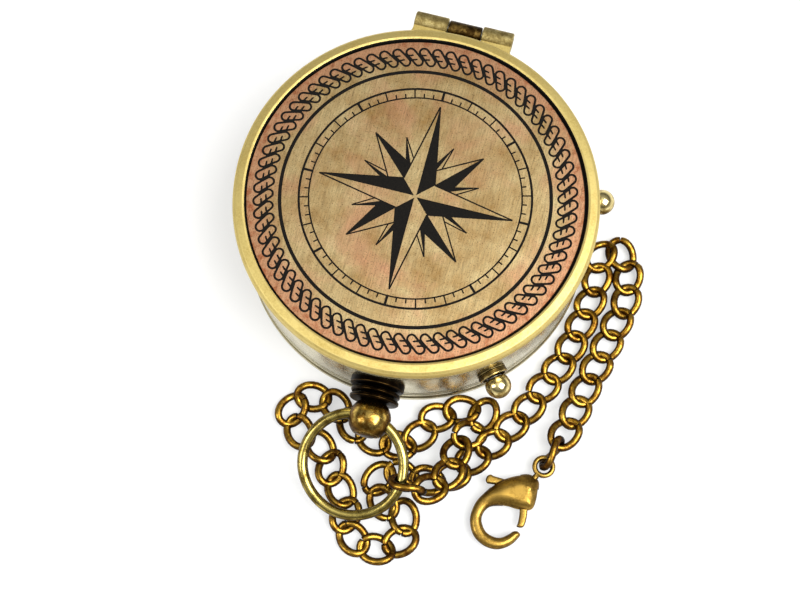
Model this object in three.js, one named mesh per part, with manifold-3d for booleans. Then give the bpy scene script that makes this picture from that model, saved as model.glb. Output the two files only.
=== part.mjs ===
// An engraved brass compass: a turned case with a hinged lid, a pendant with a bow ring, a lid catch,
// a needle arrest, the compass works under the lid, and a curb chain that ends in a lobster clasp.
// Millimetres, +Z up. The origin is the centre of the case's flat base, +Y points at the hinge.
import * as THREE from "three";
import { mergeVertices } from "three/addons/utils/BufferGeometryUtils.js";
import Module from "manifold-3d";

const wasm = await Module();
wasm.setup();

// Clearances
const seatGap = 0.12;
const turningGap = 0.18;
const seamGap = 0.3;

// The size that the rest follows
const lidRadius = 30;

// Case: a turned brass cup with a foot bead and fine grooves
const lidOverhang = 0.7;
const caseRadius = lidRadius - lidOverhang;
const caseHeight = 17.2;
const caseWall = 2.9;
const boreRadius = caseRadius - caseWall;
const rebateDepth = 0.9;
const rebateRadius = boreRadius + rebateDepth;
const ledgeHeight = 14.5;
const floorThickness = 2;
const footProud = 0.25;
const footHeight = 1.7;
const edgeBreak = 0.35;
const grooveDepth = 0.22;
const grooveWidth = 0.5;
const grooveHeights = [3.4, 4.5, 14.9];
const roundSides = 36;

// Lid: a shallow shell with a rolled rim that frames the engraved plate
const lidRimWidth = 2.25;
const lidRimInner = lidRadius - lidRimWidth;
const lidSkirtWidth = 3.1;
const lidSkirtInner = lidRadius - lidSkirtWidth;
const lidThickness = 3.05;
const lidFloorThickness = 0.8;
const plateGroove = 0.45;
const plateThickness = 0.75;
const bandWidth = 5.3;
const bandLineRadius = lidRimInner - plateGroove - bandWidth;
const bandLineWidth = 0.48;
const bandLineDepth = 0.18;

// Lid hinge
const hingeLength = 17;
const knuckleRadius = 1.65;
const leftKnuckle = 5.7;
const rightKnuckle = 5.3;
const hingePinRadius = 0.75;
const hingeStandOff = 1.75;
const lugThickness = 1.5;
const caseKnuckleRadius = 1.4;
const caseLeafThickness = 0.95;
const caseLeafDrop = 5.2;

// Pendant and bow ring
const pendantAzimuth = -87.5;
const pendantHeight = 9;
const flangeRadius = 4.5;
const flangeThickness = 0.8;
const pendantDiscRadius = 4.1;
const pendantDiscThickness = 0.7;
const pendantNeckRadius = 3.2;
const pendantNeckLength = 0.42;
const ballRadius = 3.5;
const ballHalfLength = 2.72;
const pendantScrewRadius = 1.3;
const pendantNutRadius = 2.5;
const pendantNutThickness = 1.3;
const bowWire = 1.75;
const bowOuterDiameter = 18.55;
const bowAzimuth = -96.5;
const bowSlope = 19;

// Side studs: one releases the lid, the other arrests the needle
const releaseAzimuth = -50;
const arrestAzimuth = 20.5;
const studHeight = 8.5;
const studBallRadius = 2.15;
const studBallStandOff = 2.55;
const studTravel = 0.7;
const collarRadius = 2.5;
const collarProud = 1;
const collarShank = 2.1;
const collarCupRadius = 2.06;
const collarCupDepth = 1;
const springSeatRadius = 1.62;
const studStemRadius = 0.7;
const springWire = 0.34;
const springRadius = 1.2;
const springTurns = 3;

// Lid catch
const hookWidth = 2.6;
const hookThickness = 0.7;
const hookRoom = 1.4;
const hookRadius = boreRadius - hookRoom;
const hookDepth = 1.7;
const toeLength = 0.8;
const toeHeight = 0.8;
const toeRoom = 0.4;
const catchHold = 0.6;
const catchThickness = 0.9;
const catchWidth = 3.4;
const lipDrop = 0.3;

// Compass works
const catchInner = hookRadius - toeLength - toeRoom - catchThickness;
const bowlRoom = 1.1;
const bowlRadius = catchInner - bowlRoom;
const bowlWall = 0.7;
const bowlFloorHeight = 8;
const flangeSheet = 0.7;
const dialThickness = 0.4;
const spacerWall = 0.9;
const spacerHeight = 4.2;
const glassThickness = 1;
const retainerWall = 0.8;
const retainerHeight = 0.5;
const postRadius = 0.5;
const pointRise = 3.18;
const pointInset = 0.9;
const needleTipRoom = 3.3;
const needleLength = 2 * (bowlRadius - needleTipRoom);
const needleWidth = 3.4;
const needleThickness = 0.3;
const capRadius = 1.6;
const capHeight = 1.5;
const capFlangeRadius = 2.7;
const worksSides = 32;

// Needle arrest
const leverPivotInset = 8.3;
const leverPivotRadius = bowlRadius - leverPivotInset;
const leverWidth = 2.4;
const leverThickness = 0.6;
const leverDrop = 1.4;
const leverHeight = bowlFloorHeight - leverDrop;
const leverPinRadius = 0.35;
const leverNoseRoom = 1.9;
const leverNoseRadius = boreRadius - leverNoseRoom;
const prongSpread = 2.1;
const prongSide = 0.8;
const prongRoom = 0.5;

// Curb chain
const linkLength = 6.4;
const linkWidth = 5.1;
const linkWire = 1.05;
const linkWeld = 0.2;
const linkSteps = 10;
const linkSides = 4;

// Lobster clasp, in its own frame: the eye at the origin, +X towards the hook
const claspEye = [31.1, -34.4];
const claspAzimuth = -114.9;
const claspThickness = 3.6;
const claspEyeOuter = 1.9;
const claspEyeInner = 1.1;
const claspEyeThickness = 1;
const claspEyeLift = 0.35;
const hookCentre = 11.7;
const hookInner = 3.05;
const hookWire = 1.75;
const hookStart = -118;
const hookEnd = 93;
const claspLinkReach = 2.55;
const triggerThickness = 1;
const triggerPivot = [4.74, 0.24];
const rivetRadius = 0.55;

// Levels and places that follow from the driving dimensions
const wallSeat = caseRadius + seatGap;
const lidBottom = caseHeight + seamGap;
const lidTop = lidBottom + lidThickness;
const lidFloorTop = lidTop - plateThickness - 0.15;
const lidFloorBottom = lidFloorTop - lidFloorThickness;
const hingeY = lidRadius + hingeStandOff;
const hingeZ = (caseHeight + lidBottom) / 2;
const bowlInner = bowlRadius - bowlWall;
const dialBottom = bowlFloorHeight + bowlWall + seatGap;
const dialTop = dialBottom + dialThickness;
const pointHeight = dialTop + pointRise;
const capLow = pointHeight - pointInset;
const prongTop = capLow - prongRoom;
const spacerTop = dialTop + seatGap + spacerHeight;
const glassTop = spacerTop + seatGap + glassThickness;
const bowRadius = (bowOuterDiameter - bowWire) / 2;
const bowSagitta = bowRadius - Math.sqrt(bowRadius ** 2 - ballRadius ** 2);
const ballSeat = wallSeat + flangeThickness + 2 * (pendantNeckLength + pendantDiscThickness);
const ballCentre = ballSeat + seatGap + ballHalfLength;
const studBallCentre = caseRadius + studBallStandOff;
const claspMiddle = claspThickness / 2 + 0.05;

const rad = THREE.MathUtils.degToRad;

// Materials
const finish = (color, roughness, metalness = 1) =>
  new THREE.MeshStandardMaterial({ color, roughness, metalness, side: THREE.DoubleSide });
const polishedBrass = finish(0xd8c060, 0.28);
const agedBrass = finish(0xb09552, 0.42);
const engravedPlate = finish(0xc5a57c, 0.45);
const darkBronze = finish(0x4a3a24, 0.5);
const bowBrass = finish(0xb4a45a, 0.22);
const chainBronze = finish(0x946a2c, 0.4);
const springSteel = finish(0x8d8f92, 0.35);
const needleSteel = finish(0x2f4f86, 0.3);
const cardWhite = finish(0xece5d2, 0.8, 0);
const clearGlass = finish(0xe8f0f0, 0.05, 0);

// A closed geometry as a solid that can be joined and cut.
function solidOf(geometry) {
  const bare = geometry.clone();
  bare.deleteAttribute("normal");
  bare.deleteAttribute("uv");
  const merged = mergeVertices(bare, 1e-4);
  const corners = merged.index.array;
  const kept = [];
  for (let i = 0; i < corners.length; i += 3) {
    const [a, b, c] = [corners[i], corners[i + 1], corners[i + 2]];
    if (a !== b && b !== c && c !== a) kept.push(a, b, c);
  }
  const vertProperties = new Float32Array(merged.attributes.position.array);
  const made = (triVerts) => new wasm.Manifold(new wasm.Mesh({ numProp: 3, vertProperties, triVerts }));
  const first = made(new Uint32Array(kept));
  if (first.volume() > 0) return first;
  return made(new Uint32Array(kept.reverse()));
}

// A solid's surface as a geometry with flat faces.
function geometryOf(solid) {
  const mesh = solid.getMesh();
  const shared = new THREE.BufferGeometry();
  shared.setAttribute("position", new THREE.BufferAttribute(new Float32Array(mesh.vertProperties), 3));
  shared.setIndex(new THREE.BufferAttribute(new Uint32Array(mesh.triVerts), 1));
  const geometry = shared.toNonIndexed();
  geometry.computeVertexNormals();
  return geometry;
}

const join = (first, ...others) => others.reduce((sum, s) => sum.add(s), first);
const cut = (first, ...others) => others.reduce((rest, s) => rest.subtract(s), first);

// Adds one named piece to a group.
function addPiece(group, name, solid, material) {
  const piece = new THREE.Mesh(geometryOf(solid), material);
  piece.name = name;
  group.add(piece);
}

// A piece turned about +Z from [radius, height] pairs. The outline starts and ends on the axis or closes.
function turned(outline, sides = roundSides) {
  const points = outline.map(([r, z]) => new THREE.Vector2(r, z));
  return solidOf(new THREE.LatheGeometry(points, sides).rotateX(Math.PI / 2));
}

// A turned ring between two radii and two heights.
const ring = (inner, outer, low, high, sides = roundSides) =>
  turned([[inner, low], [outer, low], [outer, high], [inner, high], [inner, low]], sides);

// A turned disc.
const disc = (radius, low, high, sides = roundSides) =>
  turned([[0, low], [radius, low], [radius, high], [0, high]], sides);

// A piece turned about +X from [radius, distance] pairs.
const turnedOut = (outline, sides) => turned(outline, sides).rotate([0, 90, 0]);
const rodOut = (radius, near, far, sides = 16) => disc(radius, near, far, sides).rotate([0, 90, 0]);

// A block between two corners.
function block(low, high) {
  const size = low.map((v, i) => high[i] - v);
  const middle = low.map((v, i) => (v + high[i]) / 2);
  return solidOf(new THREE.BoxGeometry(...size).translate(...middle));
}

// A flat piece cut from a closed outline in XY, from one height to another.
function flatPiece(outline, low, high) {
  const shape = new THREE.Shape(outline.map(([x, y]) => new THREE.Vector2(x, y)));
  const geometry = new THREE.ExtrudeGeometry(shape, { depth: high - low, bevelEnabled: false });
  return solidOf(geometry.translate(0, 0, low));
}

// A closed or open tube of round section through points on a line given by a function of 0 to 1.
function tubeAlong(lineAt, radius, steps, sides, closed) {
  const positions = [];
  const rings = closed ? steps : steps + 1;
  const ahead = 1e-3;
  for (let i = 0; i < rings; i++) {
    const t = i / steps;
    const here = lineAt(t);
    const tangent = lineAt(t + ahead).sub(lineAt(t - ahead)).normalize();
    const side = new THREE.Vector3(0, 0, 1).cross(tangent).normalize();
    const up = tangent.clone().cross(side);
    for (let k = 0; k < sides; k++) {
      const turn = (2 * Math.PI * (k + 0.5)) / sides;
      const point = here.clone().addScaledVector(side, radius * Math.cos(turn));
      point.addScaledVector(up, radius * Math.sin(turn));
      positions.push(point.x, point.y, point.z);
    }
  }
  const index = [];
  for (let i = 0; i < steps; i++) {
    for (let k = 0; k < sides; k++) {
      const next = (k + 1) % sides;
      const [a, b] = [i * sides + k, i * sides + next];
      const [c, d] = [((i + 1) % rings) * sides + k, ((i + 1) % rings) * sides + next];
      index.push(a, b, c, b, d, c);
    }
  }
  if (!closed) {
    for (let k = 1; k < sides - 1; k++) {
      index.push(0, k + 1, k);
      index.push(steps * sides, steps * sides + k, steps * sides + k + 1);
    }
  }
  const geometry = new THREE.BufferGeometry();
  geometry.setAttribute("position", new THREE.BufferAttribute(new Float32Array(positions), 3));
  geometry.setIndex(index);
  return solidOf(geometry);
}

// Turns a solid made along +X to an azimuth and lifts it.
const placed = (solid, azimuth, height) => solid.rotate([0, 0, azimuth]).translate([0, 0, height]);

// The case's outer wall as a cutter for what is seated on it, in a frame at the given height.
const caseCutter = (height) => disc(wallSeat, -height, caseHeight - height);

function makeCase(root) {
  const grooves = grooveHeights.flatMap((z) => [
    [caseRadius, z - grooveWidth / 2],
    [caseRadius - grooveDepth, z],
    [caseRadius, z + grooveWidth / 2],
  ]);
  const cup = turned([
    [0, 0],
    [caseRadius + footProud - edgeBreak, 0],
    [caseRadius + footProud, edgeBreak],
    [caseRadius + footProud, footHeight],
    [caseRadius, footHeight + footProud],
    ...grooves,
    [caseRadius, caseHeight - edgeBreak],
    [caseRadius - edgeBreak, caseHeight],
    [rebateRadius, caseHeight],
    [rebateRadius, ledgeHeight],
    [boreRadius, ledgeHeight],
    [boreRadius, floorThickness],
    [0, floorThickness],
  ]);
  const studHole = rodOut(collarShank + seatGap, boreRadius - 1, caseRadius + 2, 20);
  const pendantHole = rodOut(pendantScrewRadius + seatGap, boreRadius - 1, caseRadius + 2, 20);
  const body = cut(
    cup,
    placed(studHole, releaseAzimuth, studHeight),
    placed(studHole, arrestAzimuth, studHeight),
    placed(pendantHole, pendantAzimuth, pendantHeight),
  );
  addPiece(root, "case_body", body, agedBrass);
}

function makeLid(root) {
  const rimHigh = lidTop;
  const shell = turned([
    [0, lidFloorBottom],
    [lidSkirtInner, lidFloorBottom],
    [lidSkirtInner, lidBottom],
    [lidRadius - 0.6, lidBottom],
    [lidRadius - 0.12, lidBottom + 0.45],
    [lidRadius, lidBottom + lidThickness * 0.45],
    [lidRadius - 0.25, rimHigh - 0.62],
    [lidRadius - 0.85, rimHigh - 0.16],
    [(lidRadius + lidRimInner) / 2 + 0.15, rimHigh],
    [lidRimInner + 0.3, rimHigh - 0.08],
    [lidRimInner, rimHigh - 0.3],
    [lidRimInner, lidFloorTop],
    [0, lidFloorTop],
  ]);
  addPiece(root, "lid_shell", shell, polishedBrass);

  const plateRadius = lidRimInner - plateGroove;
  const plateLow = lidFloorTop + 0.05;
  const plateHigh = plateLow + plateThickness;
  const plate = turned([
    [0, plateLow],
    [plateRadius, plateLow],
    [plateRadius, plateHigh - 0.12],
    [plateRadius - 0.12, plateHigh],
    [bandLineRadius + bandLineWidth / 2, plateHigh],
    [bandLineRadius, plateHigh - bandLineDepth],
    [bandLineRadius - bandLineWidth / 2, plateHigh],
    [0, plateHigh],
  ]);
  addPiece(root, "lid_engraved_plate", plate, engravedPlate);

  const foot = block(
    [hookRadius - hookThickness - 1.2, -hookWidth / 2, lidFloorBottom - seatGap - 0.5],
    [hookRadius + hookThickness + 0.9, hookWidth / 2, lidFloorBottom - seatGap],
  );
  const shankFoot = ledgeHeight - hookDepth;
  const shank = block(
    [hookRadius, -hookWidth / 2, shankFoot],
    [hookRadius + hookThickness, hookWidth / 2, lidFloorBottom - seatGap - 0.2],
  );
  const toe = block(
    [hookRadius - toeLength, -hookWidth / 2, shankFoot],
    [hookRadius + 0.1, hookWidth / 2, shankFoot + toeHeight],
  );
  addPiece(root, "lid_catch_hook", placed(join(foot, shank, toe), releaseAzimuth, 0), agedBrass);
  return shankFoot + toeHeight;
}

function makeHinge(root) {
  const half = hingeLength / 2;
  const knuckle = (low, high, radius) =>
    disc(radius, low, high, 18).rotate([0, 90, 0]).translate([0, hingeY, hingeZ]);
  const lugLow = hingeZ + 0.45;
  const lidFace = disc(lidRadius + seatGap, lidBottom - 3, lidTop + 2);
  const pinHole = knuckle(-half - 1, half + 1, hingePinRadius + turningGap);
  const lidLeaf = (low, high) => {
    const lug = block([low, lidRadius - 3, lugLow], [high, hingeY, lugLow + lugThickness]);
    return cut(join(knuckle(low, high, knuckleRadius), lug), lidFace, pinHole);
  };
  addPiece(root, "lid_hinge_leaf_left", lidLeaf(-half, -half + leftKnuckle), polishedBrass);
  addPiece(root, "lid_hinge_leaf_right", lidLeaf(half - rightKnuckle, half), polishedBrass);

  const middleLow = -half + leftKnuckle + turningGap;
  const middleHigh = half - rightKnuckle - turningGap;
  const caseBarrel = knuckle(middleLow, middleHigh, caseKnuckleRadius);
  const leafBottom = hingeZ - caseLeafDrop;
  const strap = block(
    [middleLow, caseRadius - 2, leafBottom],
    [middleHigh, hingeY - caseKnuckleRadius + caseLeafThickness, hingeZ],
  );
  const strapFace = disc(wallSeat, leafBottom - 1, hingeZ + 3);
  const outerFace = cut(
    block([middleLow - 1, hingeY - caseKnuckleRadius + 0.2, leafBottom - 1], [middleHigh + 1, hingeY + 3, hingeZ - 1.2]),
  );
  const caseLeaf = cut(join(caseBarrel, cut(strap, outerFace)), strapFace, pinHole);
  addPiece(root, "case_hinge_leaf", caseLeaf, darkBronze);

  const pin = knuckle(-half + 0.1, half - 0.1, hingePinRadius);
  addPiece(root, "hinge_pin", pin, agedBrass);
}

function makePendant(root) {
  const pendant = new THREE.Group();
  pendant.rotation.z = rad(pendantAzimuth);
  pendant.position.z = pendantHeight;
  root.add(pendant);

  const bore = pendantScrewRadius + seatGap;
  const neckOne = wallSeat + flangeThickness;
  const discOne = neckOne + pendantNeckLength;
  const neckTwo = discOne + pendantDiscThickness;
  const discTwo = neckTwo + pendantNeckLength;
  const discEdge = 0.15;
  const rolledDisc = (near) => [
    [pendantDiscRadius - discEdge, near],
    [pendantDiscRadius, near + pendantDiscThickness / 2],
    [pendantDiscRadius - discEdge, near + pendantDiscThickness],
  ];
  const stack = turnedOut([
    [bore, caseRadius - 1.2],
    [flangeRadius, caseRadius - 1.2],
    [flangeRadius, neckOne - 0.2],
    [pendantNeckRadius, neckOne],
    [pendantNeckRadius, discOne],
    ...rolledDisc(discOne),
    [pendantNeckRadius, neckTwo],
    [pendantNeckRadius, discTwo],
    ...rolledDisc(discTwo),
    [bore, ballSeat],
    [bore, caseRadius - 1.2],
  ], 20);
  addPiece(pendant, "pendant_collar", cut(stack, caseCutter(pendantHeight)), darkBronze);

  const nutFar = boreRadius - 0.25;
  const screwEnd = nutFar - pendantNutThickness - 0.8;
  const steps = 8;
  const ballOutline = Array.from({ length: steps }, (_, i) => {
    const angle = rad(-62 + (152 * i) / (steps - 1));
    return [ballRadius * Math.cos(angle), ballCentre + ballHalfLength * Math.sin(angle)];
  });
  const ball = turnedOut([
    [0, screwEnd],
    [pendantScrewRadius, screwEnd],
    [pendantScrewRadius, ballCentre - 1.5],
    ...ballOutline.slice(0, -1),
    [0, ballCentre + ballHalfLength],
  ], 20);
  const crossHole = bowWire / 2 + bowSagitta / 2 + turningGap;
  const drill = disc(crossHole, -ballRadius - 1, ballRadius + 1, 16)
    .rotate([90, 0, 0])
    .rotate([0, 0, bowAzimuth - pendantAzimuth])
    .translate([ballCentre, 0, 0]);
  addPiece(pendant, "pendant_ball", cut(ball, drill), agedBrass);

  const nut = cut(
    rodOut(pendantNutRadius, nutFar - pendantNutThickness, nutFar, 6),
    rodOut(pendantScrewRadius + seatGap, nutFar - 3, nutFar + 1),
  );
  addPiece(pendant, "pendant_nut", nut, agedBrass);
}

// The bow ring's frame: its hole centre in the pendant ball, its downhill direction and its swing axis.
function bowFrame() {
  const out = rad(pendantAzimuth);
  const hole = new THREE.Vector3(ballCentre * Math.cos(out), ballCentre * Math.sin(out), pendantHeight);
  const down = new THREE.Vector3(Math.cos(rad(bowAzimuth)), Math.sin(rad(bowAzimuth)), 0);
  down.multiplyScalar(Math.cos(rad(bowSlope)));
  down.z = -Math.sin(rad(bowSlope));
  const across = new THREE.Vector3(-Math.sin(rad(bowAzimuth)), Math.cos(rad(bowAzimuth)), 0);
  const centre = hole.clone().addScaledVector(down, bowRadius - bowSagitta / 2);
  return { hole, down, across, centre };
}

function makeBow(root) {
  const { down, across, centre } = bowFrame();
  const wireAt = (t) => {
    const turn = 2 * Math.PI * t;
    const point = centre.clone().addScaledVector(down, bowRadius * Math.cos(turn));
    return point.addScaledVector(across, bowRadius * Math.sin(turn));
  };
  addPiece(root, "bow_ring", tubeAlong(wireAt, bowWire / 2, 30, 6, true), bowBrass);
}

// A stud: a collar pressed into the case wall, and a ball-ended plunger that a coil spring holds out.
function makeStud(root, name, azimuth, innerEnd) {
  const stud = new THREE.Group();
  stud.rotation.z = rad(azimuth);
  stud.position.z = studHeight;
  root.add(stud);

  const collarFace = caseRadius + collarProud;
  const cupFloor = collarFace - collarCupDepth;
  const bushEnd = boreRadius + 0.1;
  const springFloor = bushEnd + 0.8;
  const collar = turnedOut([
    [studStemRadius + turningGap, bushEnd],
    [collarShank, bushEnd],
    [collarShank, caseRadius - 0.8],
    [collarRadius, caseRadius - 0.8],
    [collarRadius, collarFace - 0.2],
    [collarRadius - 0.2, collarFace],
    [collarCupRadius, collarFace],
    [collarCupRadius, cupFloor],
    [springSeatRadius, cupFloor],
    [springSeatRadius, springFloor],
    [studStemRadius + turningGap, springFloor],
    [studStemRadius + turningGap, bushEnd],
  ], 16);
  const seat = cut(caseCutter(studHeight), rodOut(collarShank + 0.02, boreRadius - 2, caseRadius + 2));
  addPiece(stud, name + "_collar", cut(collar, seat), agedBrass);

  const backPlane = studBallCentre - studBallRadius * 0.52;
  const backAngle = Math.asin((backPlane - studBallCentre) / studBallRadius);
  const steps = 6;
  const ballOutline = Array.from({ length: steps }, (_, i) => {
    const angle = backAngle + ((Math.PI / 2 - backAngle) * i) / steps;
    return [studBallRadius * Math.cos(angle), studBallCentre + studBallRadius * Math.sin(angle)];
  });
  const plunger = turnedOut([
    ...innerEnd,
    [studStemRadius, backPlane],
    ...ballOutline,
    [0, studBallCentre + studBallRadius],
  ], 16);
  addPiece(stud, name + "_plunger", plunger, polishedBrass);

  const coilNear = springFloor + springWire / 2 + seatGap;
  const coilFar = backPlane - springWire / 2 - seatGap;
  const coilAt = (t) => {
    const turn = 2 * Math.PI * springTurns * t;
    const along = coilNear + (coilFar - coilNear) * t;
    return new THREE.Vector3(springRadius * Math.cos(turn), springRadius * Math.sin(turn), along);
  };
  const coil = tubeAlong(coilAt, springWire / 2, springTurns * 7, 4, false).rotate([0, 90, 0]);
  addPiece(stud, name + "_spring", coil, springSteel);
}

function makeCatch(root, toeTop) {
  const stemEnd = catchInner;
  makeStud(root, "release", releaseAzimuth, [[0, stemEnd], [studStemRadius, stemEnd]]);
  const plateFar = stemEnd + catchThickness;
  const lipLow = toeTop + lipDrop;
  const lipHigh = ledgeHeight - seatGap;
  const plate = block([stemEnd, -catchWidth / 2, studHeight - 1.2], [plateFar, catchWidth / 2, lipHigh]);
  const lipEnd = hookRadius - toeLength + catchHold;
  const lip = block([stemEnd, -catchWidth / 2, lipLow], [lipEnd, catchWidth / 2, lipHigh]);
  const stemHole = rodOut(studStemRadius + 0.05, stemEnd - 1, plateFar + 1).translate([0, 0, studHeight]);
  addPiece(root, "release_catch", placed(cut(join(plate, lip), stemHole), releaseAzimuth, 0), agedBrass);
}

function makeArrest(root) {
  const coneLength = 1.2;
  const coneStart = leverNoseRadius - 0.5;
  const coneEnd = [[0, coneStart], [0.15, coneStart], [studStemRadius, coneStart + coneLength]];
  makeStud(root, "arrest", arrestAzimuth, coneEnd);

  const low = leverHeight - leverThickness / 2;
  const high = leverHeight + leverThickness / 2;
  const noseTop = studHeight - studStemRadius * 0.8;
  const armHalf = prongSide / 2;
  const strip = block([prongSpread + 1.3, -leverWidth / 2, low], [leverNoseRadius + 0.4, leverWidth / 2, high]);
  const yoke = block([prongSpread + 0.6, -prongSpread - armHalf, low], [prongSpread + 1.9, prongSpread + armHalf, high]);
  const nose = block([leverNoseRadius - 0.3, -0.6, high - 0.1], [leverNoseRadius + 0.3, 0.6, noseTop]);
  const fork = [-1, 1].flatMap((side) => {
    const middle = side * prongSpread;
    return [
      block([-armHalf, middle - armHalf, low], [prongSpread + 1.5, middle + armHalf, high]),
      block([-armHalf, middle - armHalf, high - 0.1], [armHalf, middle + armHalf, prongTop]),
    ];
  });
  const eye = rodOut(leverPinRadius + 0.5, -leverWidth / 2, leverWidth / 2, 12)
    .rotate([0, 0, 90])
    .translate([leverPivotRadius, 0, leverHeight]);
  const pinHole = rodOut(leverPinRadius + turningGap, -9, 9, 12)
    .rotate([0, 0, 90])
    .translate([leverPivotRadius, 0, leverHeight]);
  const lever = cut(join(strip, yoke, nose, ...fork, eye), pinHole);
  addPiece(root, "arrest_lever", placed(lever, arrestAzimuth, 0), springSteel);

  const earInner = leverWidth / 2 + turningGap;
  const earOuter = earInner + 0.8;
  const bracketTop = bowlFloorHeight - seatGap;
  const bridge = block(
    [leverPivotRadius - 1.2, -earOuter, bracketTop - 0.3],
    [leverPivotRadius + 1.2, earOuter, bracketTop],
  );
  const ears = [-1, 1].map((side) =>
    block(
      [leverPivotRadius - 1.2, Math.min(side * earInner, side * earOuter), leverHeight - 1.1],
      [leverPivotRadius + 1.2, Math.max(side * earInner, side * earOuter), bracketTop],
    ),
  );
  const bracket = cut(join(bridge, ...ears), pinHole);
  addPiece(root, "arrest_bracket", placed(bracket, arrestAzimuth, 0), agedBrass);

  const pin = rodOut(leverPinRadius, -earOuter - 0.2, earOuter + 0.2, 12)
    .rotate([0, 0, 90])
    .translate([leverPivotRadius, 0, leverHeight]);
  addPiece(root, "arrest_pivot_pin", placed(pin, arrestAzimuth, 0), agedBrass);
}

function makeWorks(root) {
  const prongHole = (low, high) => {
    const room = prongSide / 2 + 0.35;
    const holes = [-1, 1].map((side) =>
      block([-room, side * prongSpread - room, low], [room, side * prongSpread + room, high]),
    );
    return placed(join(...holes), arrestAzimuth, 0);
  };
  const flangeLow = ledgeHeight + seatGap;
  const flangeHigh = flangeLow + flangeSheet;
  const bowl = turned([
    [0, bowlFloorHeight],
    [bowlRadius, bowlFloorHeight],
    [bowlRadius, flangeLow],
    [rebateRadius - seatGap, flangeLow],
    [rebateRadius - seatGap, flangeHigh],
    [bowlInner, flangeHigh],
    [bowlInner, bowlFloorHeight + bowlWall],
    [0, bowlFloorHeight + bowlWall],
  ], roundSides);
  const rivetHole = disc(postRadius + seatGap, bowlFloorHeight - 1, dialBottom, 12);
  const hookSlot = placed(
    block(
      [hookRadius - toeLength - 0.35, -hookWidth / 2 - 0.6, flangeLow - 1],
      [hookRadius + hookThickness + 0.6, hookWidth / 2 + 0.6, flangeHigh + 1],
    ),
    releaseAzimuth,
    0,
  );
  const bowlBody = cut(bowl, rivetHole, hookSlot, prongHole(bowlFloorHeight - 1, dialBottom));
  addPiece(root, "works_bowl", bowlBody, agedBrass);

  const postCollar = postRadius + 0.5;
  const card = disc(bowlInner - seatGap, dialBottom, dialTop, worksSides);
  const cardHole = disc(postCollar + 0.15, dialBottom - 1, dialTop + 1, 12);
  addPiece(root, "dial_card", cut(card, cardHole, prongHole(dialBottom - 1, dialTop + 1)), cardWhite);

  const spacerOuter = bowlInner - seatGap;
  const spacer = ring(spacerOuter - spacerWall, spacerOuter, dialTop + seatGap, spacerTop, worksSides);
  addPiece(root, "glass_spacer_ring", spacer, agedBrass);

  const glass = disc(spacerOuter, spacerTop + seatGap, glassTop, worksSides);
  addPiece(root, "glass", glass, clearGlass);

  const retainerLow = glassTop + seatGap;
  const retainer = ring(
    spacerOuter - retainerWall,
    spacerOuter,
    retainerLow,
    retainerLow + retainerHeight,
    worksSides,
  );
  addPiece(root, "glass_retaining_ring", retainer, polishedBrass);

  const collarLow = bowlFloorHeight + bowlWall + 0.05;
  const post = turned([
    [0, bowlFloorHeight + 0.05],
    [postRadius, bowlFloorHeight + 0.05],
    [postRadius, collarLow],
    [postCollar, collarLow],
    [postCollar, dialTop + 0.2],
    [postRadius, dialTop + 0.3],
    [postRadius, pointHeight - 1.2],
    [0, pointHeight],
  ], 12);
  addPiece(root, "pivot_post", post, springSteel);

  const capHigh = capLow + capHeight;
  const cap = turned([
    [postRadius + 0.35, capLow],
    [capFlangeRadius, capLow],
    [capFlangeRadius, capLow + 0.25],
    [capRadius, capLow + 0.25],
    [capRadius, capHigh - 0.4],
    [capRadius - 0.5, capHigh],
    [0, capHigh],
    [0, pointHeight + 0.1],
    [postRadius + 0.35, capLow],
  ], 16);
  addPiece(root, "needle_cap", cap, polishedBrass);

  const bladeLow = capLow + 0.25 + 0.05;
  const bladeHigh = bladeLow + needleThickness;
  const half = needleLength / 2;
  const waist = needleWidth / 2;
  const stem = needleWidth * 0.2;
  const boss = capRadius * 1.56;
  const flat = capRadius * 0.88;
  const shoulder = capRadius * 2;
  const blade = flatPiece(
    [[0, half], [-waist, half * 0.52], [-stem, half * 0.46], [-stem, shoulder], [-boss, flat], [-boss, -flat],
      [-stem, -shoulder], [-stem, -half], [stem, -half], [stem, -shoulder], [boss, -flat], [boss, flat],
      [stem, shoulder], [stem, half * 0.46], [waist, half * 0.52]],
    bladeLow,
    bladeHigh,
  );
  const bladeHole = disc(capRadius + 0.08, bladeLow - 1, bladeHigh + 1, 16);
  addPiece(root, "needle_blade", cut(blade, bladeHole), needleSteel);
}

// One oval link of round wire. Its ends twist opposite ways, so that flat links pass through each other.
function chainLink(twist, wire = linkWire) {
  const long = (linkLength - linkWire) / 2;
  const wide = (linkWidth - linkWire) / 2;
  const wireAt = (t) => {
    const turn = 2 * Math.PI * t;
    return new THREE.Vector3(long * Math.cos(turn), wide * Math.sin(turn), twist * Math.sin(2 * turn));
  };
  return tubeAlong(wireAt, wire / 2, linkSteps, linkSides, true);
}

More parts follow.
